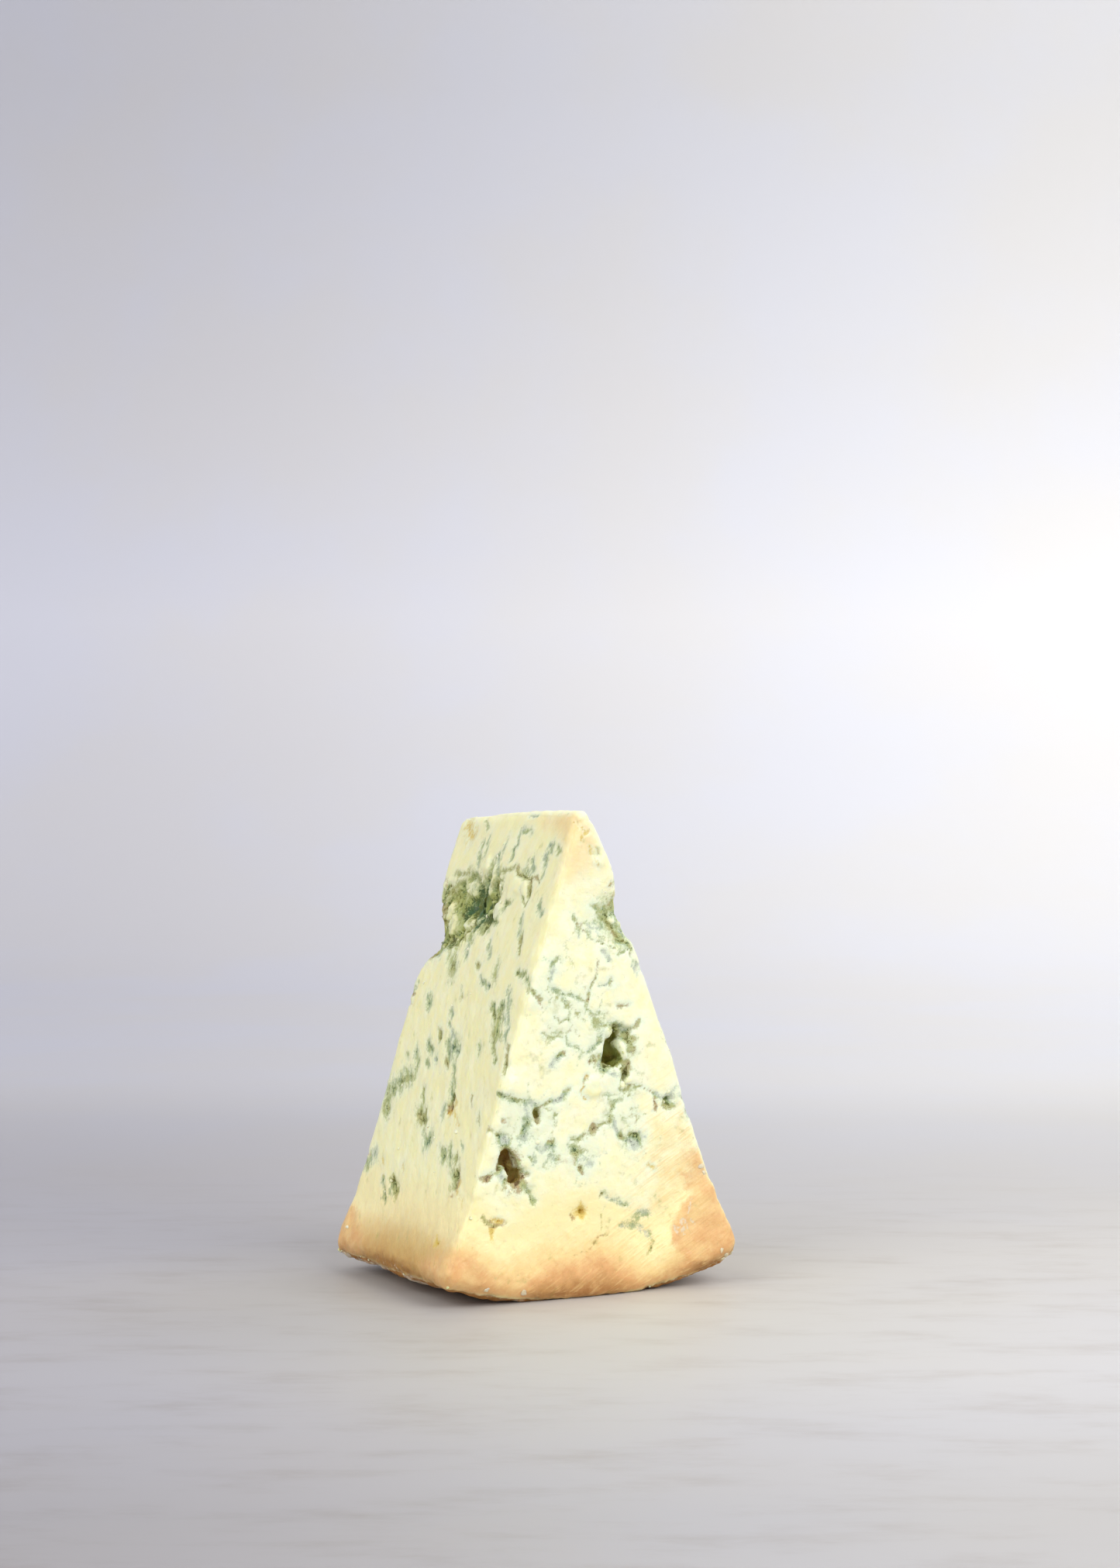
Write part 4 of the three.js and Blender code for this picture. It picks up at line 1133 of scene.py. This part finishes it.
def new_material(name):
    """An empty material, its tree, its shader and the object's own coordinates."""
    material = bpy.data.materials.new(name)
    material.use_nodes = True
    tree = material.node_tree
    tree.nodes.clear()
    shader = put(tree, "ShaderNodeBsdfPrincipled")
    output = put(tree, "ShaderNodeOutputMaterial")
    tree.links.new(shader.outputs["BSDF"], output.inputs["Surface"])
    return material, tree, shader, put(tree, "ShaderNodeTexCoord").outputs["Object"]


def milky(shader, weight, depth):
    """Lets light sink into a shader and come out warm, as it does in cheese."""
    shader.inputs["Subsurface Weight"].default_value = weight
    shader.inputs["Subsurface Radius"].default_value = (1.0, 0.8, 0.45)
    shader.inputs["Subsurface Scale"].default_value = depth
    shader.inputs["Specular IOR Level"].default_value = 0.4


class Layers:
    """Builds up a colour on a material, one masked layer on another."""

    def __init__(self, tree, vector, groups):
        self.tree = tree
        self.vector = vector
        self.groups = groups

    def mask(self, field, scale, coarse, fine, start, end):
        """Where a stored or given field passes from start to end, with an edge that noise
        makes ragged. Its scale is in swellings a metre, and coarse and fine say how much
        the noise and a finer noise on it sway the field."""
        field = stored(self.tree, field) if isinstance(field, str) else field
        given = {"Vector": self.vector, "Field": field, "Scale": scale, "Coarse": coarse}
        given |= {"Fine": fine, "From": start, "To": end}
        return use(self.tree, self.groups["Ragged edge"], given)["Mask"]

    def mottle(self, main, other, scale, amount, lean=0.0):
        """Two colours in clouds, scale of them a metre. The amount is the other colour's
        share where it is strongest, and the lean what it has everywhere."""
        given = {"Vector": self.vector, "Main": rgba(main), "Other": rgba(other)}
        given |= {"Scale": scale, "Amount": amount, "Lean": lean}
        return use(self.tree, self.groups["Mottle"], given)["Colour"]

    def part_of(self, share, value):
        """A mask made weaker, by a number or by another mask."""
        return maths(self.tree, "MULTIPLY", share, value)

    def lay(self, colour, mask, strength):
        """Covers what there is with a colour, where the mask says."""
        colour = colour if isinstance(colour, bpy.types.NodeSocket) else rgba(colour)
        share = self.part_of(mask, strength)
        self.colour = blend(self.tree, share, self.colour, colour)

    def cover(self, colour, strength, field, *edge):
        """Covers what there is with a colour, where a field passes an edge, as in mask."""
        self.lay(colour, self.mask(field, *edge), strength)


# Where the margin turns from one colour to the next, from its inner edge at 0.
DRIED = dict(straw=0.52, peach=0.72, apricot=0.85, orange=0.93, tan=0.98)
FIBRE_TURN = math.radians(30)  # from level, as the fibres lie on the front


def cheese_material(colours):
    """Paste, veins, mould, dried margin and rind, each where the mesh says."""
    groups = effect_groups(colours)
    material, tree, shader, place = new_material("cheese")
    vector = put(tree, "ShaderNodeAttribute", attribute_name="weave").outputs["Vector"]
    paste = Layers(tree, vector, groups)
    # Painted shade on the left cut: it leans to the yellower butter, and has less of the mint
    # beside the veins.
    lean = maths(tree, "MULTIPLY", stored(tree, "side"), 0.5)
    paste.colour = paste.mottle(colours.cream, colours.butter, 240.0, 0.75, lean)
    beside = paste.mask("halo", 420.0, 0.6, 0.5, 0.12, 0.8)
    paste.lay(colours.mint, paste.part_of(beside, maths(tree, "SUBTRACT", 1.0, lean)), 0.85)
    paste.cover(colours.mint, 0.6, "mint", 260.0, 1.2, 0.8, 0.25, 1.0)
    # The dried parts.
    paste.vector = place
    paste.cover(colours.peach, 0.8, "warmth", 260.0, 0.5, 0.2, 0.1, 1.1)
    straw = paste.mottle(colours.straw, colours.peach, 240.0, 0.9, 0.12)
    paste.cover(straw, 0.85, "drying", 200.0, 0.8, 0.5, 0.1, 0.95)
    margin = paste.mask("margin", 230.0, 0.16, 0.12, 0.0, 1.1)
    stops = [(at, getattr(colours, hue)) for hue, at in DRIED.items()]
    dried = colour_scale(tree, margin, stops)
    paste.lay(dried, eased(tree, margin, 0.02, 0.3), 1.0)
    paste.cover(colours.khaki, 0.75, "khaki", 260.0, 0.25, 0.15, 0.0, 1.1)
    turned = put(tree, "ShaderNodeMapping", {"Vector": place, "Rotation": (0, FIBRE_TURN, 0)})
    thin = vector_maths(tree, "MULTIPLY", turned.outputs["Vector"], (0.09, 1, 1))["Vector"]
    fibres = grainy(tree, thin, 2200.0)
    fibrous = paste.part_of(stored(tree, "fibre"), eased(tree, fibres, 0.5, 0.7))
    paste.lay(colours.peach, fibrous, 0.65)
    apricot = paste.mottle(colours.apricot, colours.peach, 280.0, 0.7)
    paste.cover(apricot, 0.9, "smear", 600.0, 0.5, 0.4, 0.15, 0.8)
    paste.cover(colours.umber, 0.95, "crust", 300.0, 0.7, 0.5, 0.0, 1.1)
    paste.cover(colours.bloom, 0.75, "crust", 700.0, 1.8, 1.6, 1.1, 1.4)
    paste.vector = vector
    # Mould: steeped paste, then pale lumps in it, then thin and thick growth in the veins.
    paste.cover(colours.moss, 0.7, "left_mould", 300.0, 2.6, 1.4, 0.3, 1.2)
    paste.cover(colours.moss, 0.6, "fine_mould", 700.0, 1.8, 1.6, 0.4, 1.1)
    pale = paste.mottle(colours.butter, colours.mint, 260.0, 0.7)
    paste.cover(pale, 0.8, "bloom", 500.0, 0.9, 0.8, 0.3, 1.0)
    tone = {"Vector": vector, "Tone": stored(tree, "tone")}
    mould = use(tree, groups["Mould colour"], tone)
    haze = paste.mask("vein", 500.0, 1.2, 1.0, -1.0, 0.9)
    stale = maths(tree, "MAXIMUM", eased(tree, margin, 0.05, 0.4), stored(tree, "left_mould"))
    # The left cut's painted shade keeps the mint haze off it too.
    stale = maths(tree, "MAXIMUM", stale, lean)
    haze = paste.part_of(haze, maths(tree, "SUBTRACT", 1.0, stale))
    paste.lay(colours.mint, haze, 0.6)
    smudge = paste.mask("vein", 900.0, 1.9, 1.9, -0.2, 1.05)
    paste.lay(mould["Thin"], smudge, 0.75)
    dots = paste.mask("vein", 1500.0, 2.6, 2.6, 1.0, 1.5)
    paste.lay(mould["Thick"], dots, 0.85)
    paste.cover(mould["Thin"], 0.9, "cavity", 600.0, 0.7, 0.6, 0.3, 0.8)
    paste.cover(mould["Thick"], 0.7, "cavity", 900.0, 2.4, 1.6, 0.9, 1.3)
    paste.cover(colours.bloom, 0.7, "scratch", 1400.0, 1.6, 1.0, 0.45, 0.8)
    # The rind.
    rind = paste.mask("rind", 500.0, 0.4, 0.3, 0.3, 0.75)
    paste.lay(paste.mottle(colours.tan, colours.umber, 330.0, 1.0), rind, 1.0)
    patchy = grainy(tree, vector, 70.0, 3.0)
    white = paste.mask(patchy, 420.0, 0.5, 0.4, 0.52, 0.66)
    paste.lay(colours.bloom, paste.part_of(white, rind), 0.8)
    paste.cover(colours.bloom, 0.8, "brim", 900.0, 1.4, 1.0, 0.75, 1.15)
    tree.links.new(paste.colour, shader.inputs["Base Color"])
    dull = maths(tree, "MAXIMUM", paste.part_of(smudge, 0.3), paste.part_of(rind, 0.35))
    dull = maths(tree, "ADD", dull, 0.48)
    tree.links.new(dull, shader.inputs["Roughness"])
    # Grain, and fine fibres that the knife has raised.
    given = {"Vector": vector, "Scale": 1500.0, "Pits": 0.35}
    height = use(tree, groups["Crumb height"], given)["Height"]
    height = maths(tree, "SUBTRACT", height, paste.part_of(dots, 0.5))
    raised = maths(tree, "MULTIPLY", fibres, paste.part_of(stored(tree, "fibre"), 1.6))
    height = maths(tree, "ADD", height, raised)
    bump = put(tree, "ShaderNodeBump", {"Height": height, "Strength": 0.35, "Distance": 0.00025})
    tree.links.new(bump.outputs["Normal"], shader.inputs["Normal"])
    milky(shader, 0.5, 0.0018)
    return material


# Painted light and shade on the stage: how light it is painted, by how far along the way
# from the near floor, over the join and up the wall.
PAINTED_STAGE_LIGHT = [
    (0.05, 0.71),
    (0.09, 0.88),
    (0.11, 0.88),
    (0.15, 0.84),
    (0.24, 0.75),
    (0.45, 0.87),
    (0.65, 0.95),
    (0.72, 1.0),
    (0.92, 0.8),
]
STAGE_START, STAGE_LENGTH = -0.3, 2.3  # where that way starts and how long it is, in metres
EYE_DISTANCE = 0.556  # level, from the camera to the middle of the cheese, in metres


def stage_material(settings):
    """A matt surface, with soft clouds in it, whose colour carries painted light and shade: it
    drifts from painted shade at the left to painted light at the right, and from the darker
    floor to the wall, with a painted warm reflection round the cheese."""
    material, tree, shader, vector = new_material("stage")
    place = put(tree, "ShaderNodeSeparateXYZ", {0: vector}).outputs
    distance = maths(tree, "MAXIMUM", maths(tree, "ADD", place["Y"], EYE_DISTANCE), 0.35)
    # Painted light from the right: the stage goes from painted shade at the left to painted light
    # at the right.
    painted_light_to_right = eased(tree, maths(tree, "DIVIDE", place["X"], distance), -0.22, 0.22)
    floor = blend(tree, painted_light_to_right, rgba(settings.floor_left_painted_shade), rgba(settings.floor_right_painted_light))
    wall = blend(tree, painted_light_to_right, rgba(settings.wall_left_painted_shade), rgba(settings.wall_right_painted_light))
    colour = blend(tree, eased(tree, place["Y"], 0.1, 0.4), floor, wall)
    along = maths(tree, "SUBTRACT", maths(tree, "ADD", place["Y"], place["Z"]), STAGE_START)
    along = maths(tree, "DIVIDE", along, STAGE_LENGTH)
    # Painted light and shade along the way from the near floor up the wall.
    shade = colour_scale(tree, along, [(at, (v, v, v)) for at, v in PAINTED_STAGE_LIGHT])
    colour = blend(tree, 1.0, colour, shade, "MULTIPLY")
    cloud = grainy(tree, vector, 5.0, 4.0, 0.55)
    warm, cool = (1.0, 0.97, 0.93, 1), (0.98, 0.98, 1.03, 1)
    clouds = blend(tree, eased(tree, cloud, 0.35, 0.65), warm, cool)
    colour = blend(tree, 0.7, colour, clouds, "MULTIPLY")
    # Fine grain on the floor near the cheese, and a painted warm reflection of it.
    flat = vector_maths(tree, "MULTIPLY", vector, (0.35, 1, 1))["Vector"]
    grain = eased(tree, grainy(tree, flat, 90.0, 6.0, 0.65), 0.45, 0.8)
    grain = maths(tree, "MULTIPLY", grain, eased(tree, place["Y"], 0.2, 0.0))
    colour = blend(tree, grain, colour, (0.85, 0.82, 0.79, 1), "MULTIPLY")
    # Painted reflection: warm light from the cheese, painted on the floor round it.
    away = vector_maths(tree, "DISTANCE", vector, (0, -0.04, 0))["Value"]
    painted_warm_reflection = eased(tree, away, 0.12, 0.03)
    colour = blend(tree, painted_warm_reflection, colour, (1, 0.985, 0.9, 1), "MULTIPLY")
    tree.links.new(colour, shader.inputs["Base Color"])
    shader.inputs["Roughness"].default_value = 0.5
    return material


# --- Crumbs and flakes: small bits that lie on the cheese ---

# Where a bit lies, the way up from there, its half length and half thickness, in
# millimetres, and how mouldy it is.
Bit = namedtuple("Bit", "place up length thick mould")
BIT_ROUGHNESS = 0.42


def torn_places(mesh):
    """How likely a crumb is to lie at each of the wedge's points, and how mouldy it is."""
    fields = {}
    for name in ("cavity", "left_mould", "fine_mould", "bloom", "halo", "rind"):
        fields[name] = np.empty(len(mesh.vertices), np.float32)
        mesh.attributes[name].data.foreach_get("value", fields[name])
    rim = fields["cavity"] * (1 - fields["cavity"]) * 4
    mouldy = fields["left_mould"] + fields["fine_mould"] + 0.6 * fields["bloom"]
    weight = 6 * rim + 0.5 * mouldy + 0.25 * fields["halo"] + 0.01
    return weight * (1 - fields["rind"]), np.clip(rim + mouldy, 0, 1)


def torn_crumbs(wedge, count, seed):
    """Small crumbs, most of them at the rims of the holes and among the mould."""
    draw = np.random.default_rng(seed)
    weight, mouldy = torn_places(wedge.data)
    chosen = draw.choice(len(weight), count, replace=False, p=weight / weight.sum())
    crumbs = []
    for index in chosen:
        point = wedge.data.vertices[int(index)]
        size = 0.2 + 0.42 * draw.random() ** 2
        mould = float(mouldy[index]) * draw.uniform(0.2, 1)
        crumbs.append(Bit(point.co / MM, point.normal, size, 0.7 * size, mould))
    return crumbs


IN_FRONT = -0.1  # a place along Y before the cheese, in metres


def on_front(wedge, across, height):
    """The front face's point at a place on its map, in millimetres, and the way out there."""
    sizes = bpy.context.scene.cheese_sizes
    start = Vector((across * MM + sizes.axis_across, IN_FRONT, (height + MAP_LIFT) * MM))
    found, point, normal, _ = wedge.ray_cast(start, Vector((0, 1, 0)))
    if not found:
        raise RuntimeError(f"no cheese at {across}, {height}")
    return point / MM, normal


def strewn(name, bits, seed):
    """One mesh of rough little bits."""
    draw = np.random.default_rng(seed)
    ball = bmesh.new()
    bmesh.ops.create_icosphere(ball, subdivisions=3, radius=1)
    directions = np.array([vertex.co for vertex in ball.verts])
    corners = np.array([[vertex.index for vertex in face.verts] for face in ball.faces])
    ball.free()
    points, faces, mould = [], [], []
    for number, bit in enumerate(bits):
        spun = Matrix.Rotation(draw.uniform(0, math.tau), 3, "Z")
        turned = np.array(bit.up.to_track_quat("Z", "Y").to_matrix() @ spun)
        rough = 1 + BIT_ROUGHNESS * rough_noise(directions + 7 * number, 1.1, seed)
        half = np.array([bit.length, bit.length * draw.uniform(0.6, 0.9), bit.thick])
        points.append(directions * rough[:, None] * half @ turned.T + np.array(bit.place))
        faces.append(corners + number * len(directions))
        mould.append(np.full(len(directions), bit.mould, np.float32))
    mesh = bpy.data.meshes.new(name)
    mesh.from_pydata((np.concatenate(points) * MM).tolist(), [], np.concatenate(faces).tolist())
    mesh.polygons.foreach_set("use_smooth", np.ones(len(mesh.polygons), bool))
    mesh.attributes.new("mould", "FLOAT", "POINT").data.foreach_set("value", np.concatenate(mould))
    return mesh


def bit_material(name, fresh, other, mouldy):
    """A crumb's or a flake's surface: dry and grainy, stained where mould has grown."""
    colours = bpy.context.scene.cheese_colours
    groups = effect_groups(colours)
    material, tree, shader, vector = new_material(name)
    bit = Layers(tree, vector, groups)
    bit.colour = bit.mottle(fresh, other, 900.0, 0.8)
    bit.cover(mouldy, 0.8, "mould", 1500.0, 0.9, 0.6, 0.2, 0.8)
    tree.links.new(bit.colour, shader.inputs["Base Color"])
    height = use(tree, groups["Crumb height"], {"Vector": vector, "Scale": 2600.0})["Height"]
    bump = put(tree, "ShaderNodeBump", {"Height": height, "Strength": 0.4, "Distance": 0.0002})
    tree.links.new(bump.outputs["Normal"], shader.inputs["Normal"])
    shader.inputs["Roughness"].default_value = 0.65
    milky(shader, 0.4, 0.001)
    return material


# --- Operators ---


def shown(name, mesh, material):
    """A new object in the scene that carries a mesh."""
    mesh.materials.append(material)
    thing = bpy.data.objects.new(name, mesh)
    bpy.context.scene.collection.objects.link(thing)
    return thing


def on_cheese(thing):
    """Makes an object part of the cheese."""
    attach(thing, BODY)


class CHEESE_OT_wedge(bpy.types.Operator):
    """Make the cheese itself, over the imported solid's form"""

    bl_idname = "cheese.wedge"
    bl_label = "Wedge"

    def execute(self, context):
        sizes = context.scene.cheese_sizes
        material = cheese_material(context.scene.cheese_colours)
        wedge = shown("wedge", dressed_wedge(sizes), material)
        on_cheese(wedge)
        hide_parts(NODE)
        return {"FINISHED"}


CRUMBS = 110


class CHEESE_OT_crumbs(bpy.types.Operator):
    """Make the crumbs that cling to torn places of the wedge"""

    bl_idname = "cheese.crumbs"
    bl_label = "Crumbs"

    def execute(self, context):
        colours = context.scene.cheese_colours
        crumbs = torn_crumbs(bpy.data.objects["wedge"], CRUMBS, seed=71)
        material = bit_material("crumbs", colours.cream, colours.butter, colours.moss)
        on_cheese(shown("crumbs", strewn("crumbs", crumbs, 72), material))
        return {"FINISHED"}


# Where the flakes lie on the front's map, and their half lengths, in millimetres.
FLAKES = {
    (26.6, 23.4): 0.75,
    (27.2, 22.2): 0.45,
    (30.2, 6.6): 0.6,
    (32, 5.3): 0.8,
    (-14, 1.7): 0.7,
    (-22, 3): 0.6,
}
FLAKE_THICK = 0.16


class CHEESE_OT_flakes(bpy.types.Operator):
    """Make the dry pale flakes on the front face"""

    bl_idname = "cheese.flakes"
    bl_label = "Flakes"

    def execute(self, context):
        colours = context.scene.cheese_colours
        wedge = bpy.data.objects["wedge"]
        flakes = [
            Bit(*on_front(wedge, across, height), size, FLAKE_THICK, 0.0)
            for (across, height), size in FLAKES.items()
        ]
        material = bit_material("flakes", colours.bloom, colours.peach, colours.tan)
        on_cheese(shown("flakes", strewn("flakes", flakes, 73), material))
        return {"FINISHED"}


# The camera, in the part's frame: where it stands, in metres, and the level way it looks.
CAMERA_PLACE = (-0.2608, -0.4907, 0.1007)
CAMERA_HEADING = math.radians(-28.53)  # from straight along +Y, to the right
SENSOR = 36  # millimetres
# The soft lights: the setting with each one's power, and where it stands, in metres.
LIGHTS = {
    "key": (0.39, -0.95, 0.8),
    "fill": (-1.13, -0.41, 0.8),
    "back": (1.17, 0.27, 0.9),
}
LIGHT_SIZE = 0.9
LIT_PLACE = Vector((0, 0, 0.04))
BEND_STEPS = 12


class CHEESE_OT_stage(bpy.types.Operator):
    """Make the floor, the wall behind, the lights and the camera"""

    bl_idname = "cheese.stage"
    bl_label = "Stage"

    def execute(self, context):
        settings = context.scene.cheese_stage
        self.add_floor(settings)
        self.add_lights(context, settings)
        self.add_camera(context, settings)
        return {"FINISHED"}

    def add_floor(self, settings):
        """A floor that curves up into a wall behind the cheese."""
        half, near, far, bend, high = 4.0, -5.0, 0.75, 0.5, 2.2
        profile = [(near, 0.0), (far, 0.0)]
        for step in range(1, BEND_STEPS + 1):
            angle = step / BEND_STEPS * math.pi / 2
            profile.append((far + bend * math.sin(angle), bend * (1 - math.cos(angle))))
        profile.append((far + bend, high))
        mesh = bpy.data.meshes.new("floor")
        points = [(x, y, z) for x in (-half, half) for y, z in profile]
        count = len(profile)
        faces = [(i, i + count, i + count + 1, i + 1) for i in range(count - 1)]
        mesh.from_pydata(points, [], faces)
        mesh.polygons.foreach_set("use_smooth", np.ones(len(faces), bool))
        floor = shown("floor", mesh, stage_material(settings))
        floor.rotation_euler.z = CAMERA_HEADING

    def add_lights(self, context, settings):
        """Large soft lights at the right, the left and behind, and an even sky."""
        for name, place in LIGHTS.items():
            data = bpy.data.lights.new(name, "AREA")
            data.energy = getattr(settings, f"{name}_power")
            data.size = LIGHT_SIZE
            lamp = bpy.data.objects.new(name, data)
            lamp.location = place
            towards = LIT_PLACE - lamp.location
            lamp.rotation_euler = towards.to_track_quat("-Z", "Y").to_euler()
            context.scene.collection.objects.link(lamp)
        world = bpy.data.worlds.new("sky")
        world.use_nodes = True
        sky = world.node_tree.nodes["Background"]
        sky.inputs["Color"].default_value = (0.97, 0.98, 1, 1)
        sky.inputs["Strength"].default_value = settings.sky
        context.scene.world = world
        context.scene.view_settings.view_transform = "Standard"

    def add_camera(self, context, settings):
        """The camera, level, a little above the tip."""
        data = bpy.data.cameras.new("camera")
        data.lens = settings.lens
        data.sensor_width = SENSOR
        camera = bpy.data.objects.new("camera", data)
        camera.location = CAMERA_PLACE
        camera.rotation_euler = (math.pi / 2, 0, CAMERA_HEADING)
        context.scene.collection.objects.link(camera)
        context.scene.camera = camera


class CHEESE_PT_panel(bpy.types.Panel):
    """Lists the pieces that can be made"""

    bl_label = "Blue Cheese Wedge"
    bl_space_type = "VIEW_3D"
    bl_region_type = "UI"
    bl_category = "Cheese"

    def draw(self, context):
        for operator in OPERATORS:
            self.layout.operator(operator.bl_idname)


SETTINGS = {
    "cheese_sizes": WedgeSizes,
    "cheese_colours": CheeseColours,
    "cheese_stage": StageSettings,
}
OPERATORS = (CHEESE_OT_wedge, CHEESE_OT_crumbs, CHEESE_OT_flakes, CHEESE_OT_stage)
CLASSES = (*SETTINGS.values(), *OPERATORS, CHEESE_PT_panel)


def register():
    for shown_class in CLASSES:
        bpy.utils.register_class(shown_class)
    for name, group in SETTINGS.items():
        setattr(bpy.types.Scene, name, bpy.props.PointerProperty(type=group))


def unregister():
    for name in SETTINGS:
        delattr(bpy.types.Scene, name)
    for shown_class in reversed(CLASSES):
        bpy.utils.unregister_class(shown_class)


def main():
    """Makes everything in order."""
    register()
    bpy.ops.cheese.wedge()
    bpy.ops.cheese.crumbs()
    bpy.ops.cheese.flakes()
    bpy.ops.cheese.stage()
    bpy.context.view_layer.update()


if __name__ == "__main__":
    main()
